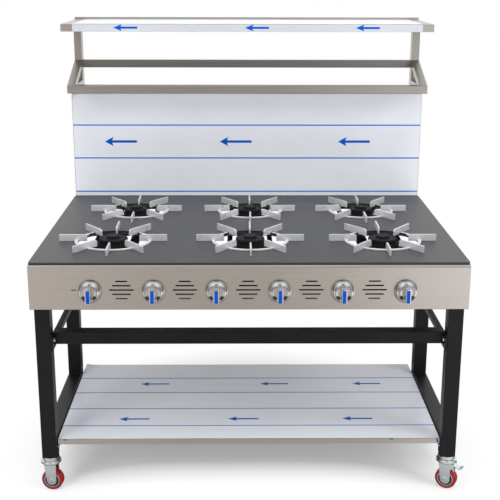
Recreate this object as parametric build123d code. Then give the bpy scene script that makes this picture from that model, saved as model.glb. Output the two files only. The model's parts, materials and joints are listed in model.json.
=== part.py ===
from build123d import *
import math
import os

# A free-standing six-burner gas range on casters, in millimetres.
# X runs to the right, Y from the control panel to the back, Z up from the floor.
# The origin is on the floor, under the middle of the whole range.

# Overall layout
range_width = 1200.0  # over the cooktop box
worktop_height = 685.0  # floor to the top of the cooktop plate
front_y = -475.5  # outer face of the control panel
box_depth = 857.0  # control panel face to the back of the rear panel
box_height = 125.6  # folded shell below the cooktop plate
panel_sheet = 1.5  # stainless sheet of the cooktop box
seam_gap = 0.3  # between pieces that are screwed or set side by side
weld_gap = 0.15  # left between neighbouring bars of one welded row
running_clearance = 0.05  # round a shaft in its bore
overcut = 1.0  # how far a cutter runs past the face it opens

# Cooktop plate
plate_thickness = 6.0
plate_setback = 10.0  # plate edge behind the panel face
plate_corner = 6.0
front_hole_radius = 103.0
rear_hole_radius = 96.0

# Burner places: rows measured from the panel face, outer burners from the sides of the range
front_row_depth = 236.0
rear_row_depth = 612.0
front_row_margins = (205.0, 209.0)
rear_row_margins = (236.5, 230.0)
front_centre_x = 4.0
rear_centre_x = 7.0

# Control panel
panel_top_bend = 8.0
panel_small_bend = 2.5
front_return = 30.0  # depth of the top flange and the end returns
bottom_flange = 18.0
control_drop = 79.0  # plate top to the knob axes
control_margins = (166.0, 174.0)  # range sides to the outer knobs
control_count = 6
stem_hole_radius = 6.0
vent_heights = (50.2, 62.4, 74.6, 86.8, 99.0)  # below the plate top
vent_lengths = (33.0, 51.0, 67.0, 51.0, 33.0)
vent_width = 4.0
index_slot = (14.0, 2.5)  # length and height of the dash beside the first knob
index_slot_offset = 43.0  # first knob to the dash

# Side and rear panels
side_top_flange = 25.0
side_bottom_flange = 10.0
rear_return = 42.0  # depth of the rear panel's top flange and end returns
rear_window_inset = 55.0  # range side to the end of the vent window
rear_window_drops = (17.0, 80.0)  # plate top to the top and bottom of the window
rear_window_corner = 8.0
inlet_hole_radius = 15.0

# Burner support frame
rail_size = 20.0
tube_wall = 2.0
tube_corner_share = 0.8  # outer corner of a square tube, as a share of its wall
front_rail_depth = 110.0
middle_rail_depth = 475.0
rear_rail_setback = 13.0  # back of the box to the middle of the rear rail
burner_bar_offset = 60.0  # bar centre to burner centre
burner_bar_width = 15.0
burner_bar_thickness = 4.0
burner_bar_drop = 22.0  # plate top to the top of the bars

# Heat shield between the valves and the burners
shield_depth = 62.0
shield_sheet = 1.2
shield_inset = 60.0  # from the sides of the range
shield_drop = 118.0  # plate top to its lower edge
shield_tube_clearance = 2.5
shield_pipe_clearance = 5.0

# Burners
front_cap_radius = 42.0
rear_cap_radius = 38.0
bowl_lip = 4.0  # bowl rim beyond the cap
bowl_rim_width = 8.0
bowl_flare = 8.0  # rim beyond the base
bowl_wall = 4.0
bowl_rim_drop = 3.0
bowl_skirt_drop = 14.0
burner_foot_length = 124.0
burner_foot_width = 30.0
burner_foot_thickness = 6.0
neck_radius = 15.5
neck_wall = 3.5
mixing_tube_radius = 14.0
mixing_tube_wall = 3.5
mixing_tube_reach = 110.0  # burner centre to the mouth
cap_thickness = 13.0
cap_edge = 1.5
port_count = 36
port_width = 2.4
port_depth = 6.0
crown_radius = 20.0
crown_height = 8.0
cap_spigot_clearance = 0.4
cap_spigot_height = 4.0

# Pan supports
ring_lap = 1.0  # of the ring over the edge of the hole
ring_width = 10.0
ring_thickness = 4.0
fin_height = 20.0
fin_thickness = 5.0
fin_slant = 53.5  # angle of the corner fins
front_side_fin = (76.0, 157.0)  # burner centre to both ends, fins to the left and right
front_deep_fin = (85.0, 163.0)  # fins to the front and back
front_slant_fin = (69.0, 164.0)  # corner fins
rear_side_fin = (66.0, 148.0)
rear_deep_fin = (85.0, 160.0)
rear_slant_fin = (66.0, 158.0)
fin_top_corner = 8.0
fin_outer_corner = 1.5

# Knobs, measured outwards from the panel face
knob_gap = 0.5
skirt_radius = 31.5
skirt_edge = 3.0
skirt_depth = 19.0
skirt_top_radius = 23.5
skirt_bulge_radius = 29.0
skirt_bulge_depth = 12.0
grip_width = 15.0
grip_below = 22.0  # axis to the lower end of the grip
grip_above = 21.0  # axis to its upper end
grip_flat = 16.8  # axis to the edge where its end slopes away
grip_slope_drop = 5.0
grip_reach = 43.5
grip_corner = 4.0
insert_width = 9.5
insert_below = 20.2
insert_above = 15.6
insert_thickness = 1.5
insert_proud = 0.3
stem_radius = 4.0
stem_socket = 22.0

# Gas valves, manifold and supply tubes
valve_radius = 11.0
valve_front = 8.0
valve_rear = 50.0
valve_nut_radius = 9.0
valve_bore_depth = 24.0
outlet_radius = 6.5
outlet_length = 8.0
inlet_stub_radius = 6.0
manifold_radius = 11.0
manifold_wall = 2.5
manifold_drop = 105.0
manifold_depth = 40.0
manifold_overrun = 31.0  # beyond the first valve
feed_offset = 74.0  # last valve to the feed pipe
feed_bend = 24.0
stub_engagement = 1.5
inlet_thread_radius = 13.2
inlet_thread_length = 18.0
inlet_collar_radius = 14.5
inlet_collar_length = 4.5
supply_radius = 5.0
supply_bend = 12.0
supply_run = 16.0
long_run_end = 150.0  # where a rear tube turns, in front of its injector
injector_radius = 7.0
injector_length = 22.0
injector_engagement = 4.0

# Leg frame, in black square tube
leg_size = 42.0
leg_inset = 10.0  # from the side of the range
leg_bottom_drop = 580.0
rear_leg_depth = 495.0  # panel face to the front of the rear legs
upper_rail_drop = 211.0
side_rail_size = 16.0
cross_bar_height = 35.0
cross_bar_depth = 40.0
cross_bar_width = 40.0
end_plate_thickness = 4.0
end_plate_drop = 46.0  # height of the end plate
end_plate_cut = 8.0
lower_rail_drop = 522.0
bearer_width = 25.0
bearer_leaf = 3.0
frame_bolt_radius = 7.5
frame_bolt_head = 5.0
low_bolt_radius = 5.0
low_bolt_drop = 552.0
plug_height = 20.0

# Lower shelf
shelf_sheet = 1.2
lower_shelf_drop = 527.0
lower_shelf_gap = 3.0  # to the legs at each side
lower_shelf_setback = 20.0
lower_shelf_overhang = 45.0  # behind the rear legs
lower_shelf_lip = 16.0
lower_shelf_hem = 10.0

# Casters, measured up from the floor
wheel_radius = 31.0
wheel_width = 25.0
hub_radius = 20.5
tyre_corner = 4.0
hub_recess = 2.0
hub_boss_wall = 4.0
hub_rim_wall = 2.5
caster_trail = 3.0
fork_gap = 13.2  # half of the space between the cheeks
cheek_thickness = 2.5
cheek_top_half = 17.5
cheek_foot_radius = 14.0
deck_bottom = 82.0
deck_thickness = 3.0
dish_radius = 29.0
dish_height = 12.0
dish_wall = 3.0
dish_lower_corner = 4.0
dish_upper_corner = (2.0, 3.0)
dish_bend = 3.0
race_overlap = 4.0  # of the dish's edge under the fixed race
race_radius = 24.0
race_gap = 0.4
kingpin_radius = 6.0
rivet_radius = 9.0
rivet_thickness = 2.5
axle_radius = 4.0
axle_head_radius = 7.5
axle_head_thickness = 3.5
front_left_yaw = -8.0
front_right_yaw = -27.0
rear_left_yaw = 160.0
rear_right_yaw = 20.0

# Brake pedal on the front right caster, along the trailing side
pedal_pivot_reach = 22.0
pedal_pivot_height = 73.0
pedal_pin_radius = 2.5
pedal_boss_radius = 5.5
ear_drop = 16.5  # pivot to the foot of the ear's slope
pedal_width = 20.0
pedal_sheet = 2.5
pedal_tip_reach = 50.0
pedal_tip_height = 71.0
pedal_bend_reach = 40.0
pedal_bend_height = 66.0
brake_shoe_reach = 3.0
brake_shoe_drop = 15.0
brake_shoe_radius = 1.5

# Upper rack, in stainless tube
rack_inset = 17.0  # from the side of the range
post_width = 25.0
post_depth = 38.0
post_wall = 1.5
post_foot_drop = 120.0  # plate top to the foot of the posts
rack_bar_height = 25.0
front_bar_rise = 375.0  # plate top to the underside of the front bar
front_bar_reach = 180.0  # posts to the front of the bar
rear_bar_rise = 441.0
rear_bar_depth = 25.0
brace_top_rise = 467.0
brace_thickness = 22.0
rack_bolt_radius = 6.5
rack_bolt_head = 5.0
rack_bolt_drops = (30.0, 100.0)

# Backsplash and upper shelf
backsplash_inset = 3.0  # from the side of the range
backsplash_height = 355.0  # above the plate top
backsplash_return = 12.0
upper_shelf_inset = 1.0  # from the side of the range
upper_shelf_rise = 594.0  # plate top to the deck
upper_shelf_lip = 24.0
upper_shelf_reach = 162.0  # posts to the front of the shelf
upper_shelf_depth = 300.0
upper_shelf_hem = 12.0
upper_shelf_upstand = 8.0


# Helpers
def block(x0, x1, y0, y1, z0, z1):
    """A box from its six sides."""
    size = Box(abs(x1 - x0), abs(y1 - y0), abs(z1 - z0))
    return Pos((x0 + x1) / 2, (y0 + y1) / 2, (z0 + z1) / 2) * size


def rod(x, y, z, radius, length, axis="z"):
    """A cylinder that starts at a point and runs along one axis."""
    turn = {"x": Rot(0, 90, 0), "y": Rot(-90, 0, 0), "z": Rot(0, 0, 0)}[axis]
    return Pos(x, y, z) * turn * Pos(0, 0, length / 2) * Cylinder(radius, length)


def depth(value):
    """Y of a place that lies this far behind the panel face."""
    return front_y + value


def rise(value):
    """Z of a place that lies this far above the cooktop plate's top."""
    return worktop_height + value


def turned(points, x=0.0, y=0.0):
    """A solid of revolution about a vertical axis from radius and height pairs."""
    outline = make_face(Polyline(*[(r, 0, z) for r, z in points], close=True))
    return Pos(x, y, 0) * revolve(outline, Axis.Z)


def square_tube(x0, x1, y0, y1, z0, z1, wall, along):
    """A rectangular tube, open at both ends along one axis, with rounded long edges."""
    inner = [x0 + wall, x1 - wall, y0 + wall, y1 - wall, z0 + wall, z1 - wall]
    start = {"x": 0, "y": 2, "z": 4}[along]
    inner[start] -= 2 * wall
    inner[start + 1] += 2 * wall
    outer = block(x0, x1, y0, y1, z0, z1)
    long_edges = outer.edges().filter_by({"x": Axis.X, "y": Axis.Y, "z": Axis.Z}[along])
    return fillet(long_edges, wall * tube_corner_share) - block(*inner)


def front_edges(shape, y):
    """Edges that lie in the plane of one Y."""
    return [edge for edge in shape.edges() if abs(edge.center().Y - y) < 1e-6]


def yz_plate(points, x0, x1):
    """A flat plate with its outline in Y and Z, between two values of X."""
    face = make_face(Plane.YZ * Polyline(*points, close=True))
    return Pos(min(x0, x1), 0, 0) * extrude(face, amount=abs(x1 - x0), dir=(1, 0, 0))


def xz_plate(points, half):
    """A flat plate with its outline in X and Z, as thick to either side of Y = 0."""
    face = make_face(Plane.XZ * Polyline(*points, close=True))
    return extrude(face, amount=half, both=True)


def joined(pieces):
    """One solid from pieces that touch."""
    whole = pieces[0]
    for piece in pieces[1:]:
        whole = whole + piece
    return whole


# Places that several pieces share
half_width = range_width / 2
plate_bottom = rise(-plate_thickness)
box_bottom = plate_bottom - box_height
flange_bottom = plate_bottom - panel_sheet
control_z = rise(-control_drop)
first_control_x = control_margins[0] - half_width
control_pitch = (range_width - sum(control_margins)) / (control_count - 1)
control_xs = [first_control_x + control_pitch * i for i in range(control_count)]
vent_xs = [(a + b) / 2 for a, b in zip(control_xs, control_xs[1:])]
bar_top = rise(-burner_bar_drop)
bar_bottom = bar_top - burner_bar_thickness
leg_outer_x = half_width - leg_inset
leg_inner_x = leg_outer_x - leg_size
front_leg_y = depth(panel_top_bend)
rear_leg_y = depth(rear_leg_depth)
leg_foot = rise(-leg_bottom_drop)
leg_centre_x = leg_outer_x - leg_size / 2
rear_rail_depth = box_depth - rear_rail_setback
feed_x = control_xs[-1] + feed_offset
front_row = {"depth": front_row_depth, "hole": front_hole_radius, "cap": front_cap_radius,
             "side_fin": front_side_fin, "deep_fin": front_deep_fin, "slant_fin": front_slant_fin,
             "xs": (front_row_margins[0] - half_width, front_centre_x, half_width - front_row_margins[1]),
             "bars": (front_rail_depth - rail_size / 2, middle_rail_depth - weld_gap)}
rear_row = {"depth": rear_row_depth, "hole": rear_hole_radius, "cap": rear_cap_radius,
            "side_fin": rear_side_fin, "deep_fin": rear_deep_fin, "slant_fin": rear_slant_fin,
            "xs": (rear_row_margins[0] - half_width, rear_centre_x, half_width - rear_row_margins[1]),
            "bars": (middle_rail_depth + weld_gap, rear_rail_depth + rail_size / 2)}
columns = ("left", "centre", "right")
burners = [(f"front_{column}", x, front_row) for column, x in zip(columns, front_row["xs"])]
burners += [(f"rear_{column}", x, rear_row) for column, x in zip(columns, rear_row["xs"])]
feeds = {"front_left": 0, "rear_left": 1, "front_centre": 2, "rear_centre": 3, "rear_right": 4, "front_right": 5}
post_front = depth(box_depth)
post_outer_x = half_width - rack_inset
post_inner_x = post_outer_x - post_width
shelf_deck = rise(upper_shelf_rise)


# Cooktop box
def cooktop_plate():
    """Plate over the box, from the panel back to the foot of the backsplash."""
    back = depth(box_depth - backsplash_return - seam_gap)
    plate = block(-half_width, half_width, depth(plate_setback), back, plate_bottom, worktop_height)
    plate = fillet(plate.edges().filter_by(Axis.Z), plate_corner)
    for _, x, row in burners:
        plate -= rod(x, depth(row["depth"]), plate_bottom - overcut, row["hole"], plate_thickness + 2 * overcut)
    return plate


def slot(x, z, length, width):
    """A round-ended slot through the control panel."""
    shape = Plane.XZ * Pos(x, z) * SlotOverall(length, width)
    return extrude(shape, amount=panel_sheet + overcut, both=True)


def front_panel():
    y0 = depth(0)
    y1 = depth(front_return)
    outer = block(-half_width, half_width, y0, y1, box_bottom, plate_bottom)
    top = [e for e in front_edges(outer, y0) if abs(e.center().Z - plate_bottom) < 1e-6]
    outer = fillet(top, panel_top_bend)
    bottom = [e for e in front_edges(outer, y0) if abs(e.center().Z - box_bottom) < 1e-6]
    outer = fillet(bottom, panel_small_bend)
    inner = block(-half_width + panel_sheet, half_width - panel_sheet, y0 + panel_sheet, y1 + overcut,
                  box_bottom + panel_sheet, flange_bottom)
    top = [e for e in front_edges(inner, y0 + panel_sheet) if abs(e.center().Z - flange_bottom) < 1e-6]
    inner = fillet(top, panel_top_bend - panel_sheet)
    panel = outer - inner
    leg_clear = leg_inner_x - seam_gap
    panel -= block(-half_width + panel_sheet, half_width - panel_sheet, depth(bottom_flange), y1 + overcut,
                   box_bottom - overcut, box_bottom + panel_sheet)
    for side in (-1, 1):
        panel -= block(side * leg_clear, side * (half_width - panel_sheet), y0 + panel_sheet, y1 + overcut,
                       box_bottom - overcut, box_bottom + panel_sheet)
    for x in control_xs:
        panel -= rod(x, y0 - overcut, control_z, stem_hole_radius, panel_sheet + 2 * overcut, "y")
    plane_cuts = []
    for x in vent_xs:
        for drop, length in zip(vent_heights, vent_lengths):
            plane_cuts.append(slot(x, rise(-drop), length, vent_width))
    plane_cuts.append(slot(first_control_x - index_slot_offset, rise(-vent_heights[2]), *index_slot))
    return panel - [Pos(0, front_y, 0) * cut for cut in plane_cuts]


def side_panel(side):
    y0 = depth(front_return + seam_gap)
    y1 = depth(box_depth - rear_return - seam_gap)
    outer = half_width * side
    inner = (half_width - panel_sheet) * side
    web = block(inner, outer, y0, y1, box_bottom, plate_bottom)
    top = block(outer, outer - side_top_flange * side, y0, y1, flange_bottom, plate_bottom)
    bottom = block(outer, outer - side_bottom_flange * side, y0, y1, box_bottom, box_bottom + panel_sheet)
    return joined([web, top, bottom])


def rear_panel():
    """Folded back of the box, with a long vent window and the hole for the gas inlet."""
    y1 = depth(box_depth)
    y0 = y1 - rear_return
    outer = block(-half_width, half_width, y0, y1, box_bottom, plate_bottom)
    inner = block(-half_width + panel_sheet, half_width - panel_sheet, y0 - overcut, y1 - panel_sheet,
                  box_bottom + panel_sheet, flange_bottom)
    panel = outer - inner
    panel -= block(-half_width + panel_sheet, half_width - panel_sheet, y0 - overcut, y1 - bottom_flange,
                   box_bottom - overcut, box_bottom + panel_sheet)
    top_drop, bottom_drop = rear_window_drops
    window_reach = half_width - rear_window_inset
    window = block(-window_reach, window_reach, y1 - panel_sheet - overcut, y1 + overcut,
                   rise(-bottom_drop), rise(-top_drop))
    window = fillet(window.edges().filter_by(Axis.Y), rear_window_corner)
    inlet = rod(feed_x, y1 - panel_sheet - overcut, rise(-manifold_drop), inlet_hole_radius,
                panel_sheet + 2 * overcut, "y")
    return panel - window - inlet


def burner_support_frame():
    """Three cross rails, and on them a pair of flat bars under every burner."""
    reach = half_width - panel_sheet - seam_gap
    pieces = []
    for back in (front_rail_depth, middle_rail_depth, rear_rail_depth):
        y = depth(back)
        pieces.append(square_tube(-reach, reach, y - rail_size / 2, y + rail_size / 2,
                                  bar_bottom - rail_size, bar_bottom, tube_wall, "x"))
    for _, x, row in burners:
        start, end = row["bars"]
        for side in (-1, 1):
            centre = x + side * burner_bar_offset
            pieces.append(block(centre - burner_bar_width / 2, centre + burner_bar_width / 2,
                                depth(start), depth(end), bar_bottom, bar_top))
    return pieces


def heat_shield():
    """Sheet that hangs from the front rail and keeps the heat off the valves."""
    reach = half_width - shield_inset
    y0 = depth(shield_depth)
    rail_front = depth(front_rail_depth) - rail_size / 2
    leaf_z = bar_bottom - rail_size / 2
    leaf = block(-reach, reach, y0, rail_front, leaf_z - shield_sheet, leaf_z)
    web = block(-reach, reach, y0, y0 + shield_sheet, rise(-shield_drop), leaf_z)
    shield = leaf + web
    for x in control_xs:
        shield -= rod(x, y0 - overcut, control_z, supply_radius + shield_tube_clearance,
                      shield_sheet + 2 * overcut, "y")
    return shield - rod(feed_x, y0 - overcut, rise(-manifold_drop), manifold_radius + shield_pipe_clearance,
                        shield_sheet + 2 * overcut, "y")


# Burners
def burner_body(x, row):
    """Cast bowl on two feet, with its neck and mixing tube below."""
    rim = rise(-bowl_rim_drop)
    skirt = rise(-bowl_skirt_drop)
    foot = bar_top
    rim_radius = row["cap"] + bowl_lip
    base_radius = rim_radius - bowl_flare
    mouth_radius = rim_radius - bowl_rim_width
    bowl = turned([(0, foot), (base_radius, foot), (rim_radius, skirt), (rim_radius, rim), (0, rim)])
    feet = block(-burner_foot_length / 2, burner_foot_length / 2, -burner_foot_width / 2,
                 burner_foot_width / 2, foot, foot + burner_foot_thickness)
    feet = fillet(feet.edges().filter_by(Axis.Z), burner_foot_width / 4)
    neck_bottom = control_z - neck_radius
    neck = rod(0, 0, neck_bottom, neck_radius, foot + bowl_wall / 2 - neck_bottom)
    tube = rod(0, -mixing_tube_reach, control_z, mixing_tube_radius, mixing_tube_reach, "y")
    cast = joined([bowl, feet, neck, tube])
    chamber = turned([(0, foot + bowl_wall), (base_radius - bowl_wall, foot + bowl_wall),
                      (mouth_radius, skirt), (mouth_radius, rim + overcut), (0, rim + overcut)])
    cast -= chamber
    cast -= rod(0, 0, control_z, neck_radius - neck_wall, foot + bowl_wall + overcut - control_z)
    cast -= rod(0, -mixing_tube_reach - overcut, control_z, mixing_tube_radius - mixing_tube_wall,
                mixing_tube_reach + overcut, "y")
    return Pos(x, depth(row["depth"]), 0) * cast


def burner_cap(x, row):
    """Loose cap with flame ports round its edge and a raised crown, and the spigot that centres it."""
    seat = rise(-bowl_rim_drop)
    top = seat + cap_thickness
    radius = row["cap"]
    spigot_radius = radius + bowl_lip - bowl_rim_width - cap_spigot_clearance
    disc = turned([(0, seat), (radius, seat), (radius, top - cap_edge), (radius - cap_edge, top),
                   (crown_radius, top), (crown_radius, top + crown_height - cap_edge),
                   (crown_radius - cap_edge, top + crown_height), (0, top + crown_height)])
    port = block(radius - port_depth, radius + overcut, -port_width / 2, port_width / 2,
                 seat - overcut, top + overcut)
    ports = [Rot(0, 0, 360 * i / port_count) * port for i in range(port_count)]
    spigot = rod(0, 0, seat - cap_spigot_height, spigot_radius, cap_spigot_height)
    return [Pos(x, depth(row["depth"]), 0) * piece for piece in (disc - ports, spigot)]


def pan_support(x, row):
    """Flat ring on the plate with upright fins that carry the pan."""
    base = worktop_height
    inner = row["hole"] - ring_lap
    ring = Cylinder(inner + ring_width, ring_thickness) - Cylinder(inner, ring_thickness)
    ring = Pos(0, 0, base + ring_thickness / 2) * ring
    slants = (fin_slant, 180 - fin_slant, 180 + fin_slant, -fin_slant)
    fins = [(angle, row["side_fin"]) for angle in (0, 180)]
    fins += [(angle, row["deep_fin"]) for angle in (90, 270)]
    fins += [(angle, row["slant_fin"]) for angle in slants]
    pieces = [ring]
    for angle, (start, reach) in fins:
        fin = block(start, reach, -fin_thickness / 2, fin_thickness / 2, base, base + fin_height)
        top_ends = fin.edges().filter_by(Axis.Y).group_by(Axis.Z)[-1].sort_by(Axis.X)
        fin = fillet(top_ends[0], fin_top_corner)
        top_ends = fin.edges().filter_by(Axis.Y).group_by(Axis.Z)[-1].sort_by(Axis.X)
        fin = fillet(top_ends[-1], fin_outer_corner)
        pieces.append(Rot(0, 0, angle) * fin)
    return Pos(x, depth(row["depth"]), 0) * joined(pieces)


# Controls
def knob(x):
    """Domed skirt with a grip bar, a coloured insert and the valve stem it turns."""
    back = -knob_gap
    start = (skirt_radius, back - skirt_edge)
    middle = (skirt_bulge_radius, back - skirt_bulge_depth)
    end = (skirt_top_radius, back - skirt_depth)
    rim = Polyline((0, back), (skirt_radius, back), start)
    dome = ThreePointArc(start, middle, end)
    face = Polyline(end, (0, end[1]), (0, back))
    body = revolve(make_face(rim + dome + face), Axis.Y)
    grip = block(-grip_width / 2, grip_width / 2, -grip_reach, -knob_gap - skirt_edge, -grip_below, grip_above)
    grip = fillet(grip.edges().filter_by(Axis.Y), grip_corner)
    half = grip_width / 2 + overcut
    grip -= yz_plate([(-grip_reach, grip_flat), (-grip_reach + grip_slope_drop, grip_above + overcut),
                      (-grip_reach - overcut, grip_above + overcut), (-grip_reach - overcut, grip_flat)],
                     -half, half)
    floor = -grip_reach - insert_proud + insert_thickness
    pocket = block(-insert_width / 2, insert_width / 2, -grip_reach - overcut, floor, -insert_below, insert_above)
    insert = block(-insert_width / 2, insert_width / 2, -grip_reach - insert_proud, floor,
                   -insert_below, insert_above)
    stem = rod(0, -stem_socket, 0, stem_radius, stem_socket + valve_bore_depth, "y")
    body = body + grip - pocket - stem
    return [Pos(x, front_y, control_z) * piece for piece in (body, insert, stem)]


def gas_valve(x):
    """Plug valve on the manifold, with its stem bore and its outlet."""
    body = rod(0, valve_front, 0, valve_radius, valve_rear - valve_front, "y")
    nut = rod(0, panel_sheet + seam_gap, 0, valve_nut_radius, valve_front - panel_sheet - seam_gap, "y")
    outlet = rod(0, valve_rear, 0, outlet_radius, outlet_length, "y")
    manifold_z = control_drop - manifold_drop
    stub_bottom = manifold_z + manifold_radius - stub_engagement
    stub = rod(0, manifold_depth, stub_bottom, inlet_stub_radius, -stub_bottom)
    valve = joined([body, nut, outlet, stub])
    valve -= rod(0, -overcut, 0, stem_radius + running_clearance, valve_bore_depth + overcut + seam_gap, "y")
    return Pos(x, front_y, control_z) * valve


def manifold_pipe():
    """Manifold behind the panel, turned back to a threaded inlet at the rear."""
    z = rise(-manifold_drop)
    y = depth(manifold_depth)
    left = first_control_x - manifold_overrun
    rear = depth(box_depth) + inlet_thread_length + panel_sheet
    path = FilletPolyline((left, y, z), (feed_x, y, z), (feed_x, rear, z), radius=feed_bend)
    start = Plane((left, y, z), x_dir=(0, 1, 0), z_dir=(1, 0, 0))
    pipe = sweep(start * Circle(manifold_radius), path=path)
    bore = sweep(start * Circle(manifold_radius - manifold_wall), path=path)
    thread = rod(feed_x, rear - inlet_thread_length, z, inlet_thread_radius, inlet_thread_length, "y")
    collar = rod(feed_x, rear - inlet_thread_length - inlet_collar_length, z, inlet_collar_radius,
                 inlet_collar_length, "y")
    end_wall = rod(left - manifold_wall, y, z, manifold_radius, manifold_wall, "x")
    pipe = pipe + thread + collar - bore + end_wall
    socket_floor = z + manifold_radius - stub_engagement - running_clearance
    sockets = [rod(x, y, socket_floor, inlet_stub_radius + running_clearance, stub_engagement + 2 * overcut)
               for x in control_xs]
    ports = [rod(x, y, z, stem_radius, manifold_radius) for x in control_xs]
    return pipe - sockets - ports


def supply_tube(x, burner_x, row):
    """Tube from one valve to the injector at the mouth of its burner."""
    start_y = valve_rear + outlet_length
    mouth = row["depth"] - mixing_tube_reach
    injector_start = mouth + injector_engagement - injector_length
    turn = injector_start - supply_run
    first_turn = start_y + supply_run if row is front_row else turn - long_run_end / 2
    path = FilletPolyline((x, depth(start_y), control_z), (x, depth(first_turn), control_z),
                          (burner_x, depth(turn), control_z), (burner_x, depth(injector_start), control_z),
                          radius=supply_bend)
    start = Plane((x, depth(start_y), control_z), x_dir=(1, 0, 0), z_dir=(0, 1, 0))
    tube = sweep(start * Circle(supply_radius), path=path)
    injector = rod(burner_x, depth(injector_start), control_z, injector_radius, injector_length, "y")
    return tube + injector


# Leg frame
def leg(side, y):
    x0, x1 = sorted((side * leg_inner_x, side * leg_outer_x))
    return square_tube(x0, x1, y, y + leg_size, leg_foot, flange_bottom, tube_wall, "z")


def upper_side_rail(side):
    top = rise(-upper_rail_drop)
    x0, x1 = sorted((side * (leg_inner_x - side_rail_size), side * leg_inner_x))
    y0 = depth(cross_bar_depth + cross_bar_width + seam_gap)
    return square_tube(x0, x1, y0, rear_leg_y + leg_size, top - side_rail_size, top, tube_wall, "y")


def front_cross_bar():
    top = rise(-upper_rail_drop)
    reach = leg_inner_x - end_plate_thickness
    return square_tube(-reach, reach, depth(cross_bar_depth), depth(cross_bar_depth + cross_bar_width),
                       top - cross_bar_height, top, tube_wall, "x")


def end_plate(side):
    """Plate at the end of the cross bar, bolted to the inner face of the leg."""
    top = rise(-upper_rail_drop)
    y0 = front_leg_y + tube_wall
    y1 = depth(cross_bar_depth + cross_bar_width)
    outline = [(y0, top), (y1, top), (y1, top - cross_bar_height - end_plate_cut / 2),
               (y1 - end_plate_cut * 2, top - end_plate_drop), (y0, top - end_plate_drop)]
    return yz_plate(outline, side * leg_inner_x, side * (leg_inner_x - end_plate_thickness))


def hex_head(x, y, z, radius, height, direction):
    """Hexagon bolt head that starts at a point and stands out along X or Y."""
    head = extrude(RegularPolygon(radius, 6), amount=height)
    turn = {"+x": Rot(0, 90, 0), "-x": Rot(0, -90, 0), "+y": Rot(-90, 0, 0)}[direction]
    return Pos(x, y, z) * turn * head


def frame_bolts():
    """Bolts of the end plates and the small bolts low on the front legs."""
    pieces = []
    plate_x = leg_inner_x - end_plate_thickness
    plate_y = front_leg_y + leg_size / 2
    plate_z = rise(-upper_rail_drop - cross_bar_height / 2)
    for side, direction in ((-1, "+x"), (1, "-x")):
        pieces.append(hex_head(side * plate_x, plate_y, plate_z, frame_bolt_radius, frame_bolt_head, direction))
        pieces.append(hex_head(side * leg_inner_x, plate_y, rise(-low_bolt_drop), low_bolt_radius,
                               frame_bolt_head, direction))
    return pieces


def lower_side_rail(side):
    """Lower rail between the legs with the angle that bears the shelf."""
    top = rise(-lower_rail_drop)
    x0, x1 = sorted((side * leg_inner_x, side * leg_outer_x))
    y0 = front_leg_y + leg_size
    rail = square_tube(x0, x1, y0, rear_leg_y, top - leg_size, top, tube_wall, "y")
    seat = rise(-lower_shelf_drop) - shelf_sheet
    inner = leg_inner_x - bearer_width
    leaf = block(side * inner, side * leg_inner_x, y0, rear_leg_y, seat - bearer_leaf, seat)
    web = block(side * (leg_inner_x - bearer_leaf), side * leg_inner_x, y0, rear_leg_y,
                seat - bearer_width, seat)
    return rail, leaf + web


def lower_shelf():
    top = rise(-lower_shelf_drop)
    reach = leg_inner_x - lower_shelf_gap
    y0 = depth(lower_shelf_setback)
    y1 = rear_leg_y + leg_size + lower_shelf_overhang
    deck = block(-reach, reach, y0, y1, top - shelf_sheet, top)
    lips = []
    for y, inward in ((y0, 1), (y1, -1)):
        lips.append(block(-reach, reach, y, y + inward * shelf_sheet, top - lower_shelf_lip, top))
        lips.append(block(-reach, reach, y, y + inward * lower_shelf_hem,
                          top - lower_shelf_lip, top - lower_shelf_lip + shelf_sheet))
    return joined([deck] + lips)


# Casters
def caster_mount(x, y):
    """Plug in the foot of a leg, with the fixed race and the kingpin."""
    race_bottom = deck_bottom + dish_height + race_gap
    half = leg_size / 2 - tube_wall
    plug = block(-half, half, -half, half, leg_foot, leg_foot + plug_height)
    race = rod(0, 0, race_bottom, race_radius, leg_foot - race_bottom)
    pin_bottom = deck_bottom - race_gap
    pin = rod(0, 0, pin_bottom - rivet_thickness, kingpin_radius, race_bottom - pin_bottom + rivet_thickness)
    rivet = rod(0, 0, pin_bottom - rivet_thickness, rivet_radius, rivet_thickness)
    return Pos(x, y, 0) * joined([plug, race, pin, rivet])


def cheek(offset, with_ear):
    """One cheek of a fork, in the plane of the wheel."""
    half = cheek_thickness / 2
    plate = xz_plate([(-cheek_top_half, deck_bottom), (caster_trail - cheek_foot_radius, wheel_radius),
                      (caster_trail + cheek_foot_radius, wheel_radius), (cheek_top_half, deck_bottom)], half)
    plate += rod(caster_trail, -half, wheel_radius, cheek_foot_radius, cheek_thickness, "y")
    if with_ear:
        reach = pedal_pivot_reach + pedal_boss_radius
        plate += xz_plate([(0, deck_bottom), (reach, deck_bottom), (reach, pedal_pivot_height - pedal_boss_radius),
                           (0, pedal_pivot_height - ear_drop)], half)
    return Pos(0, offset, 0) * plate


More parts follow.
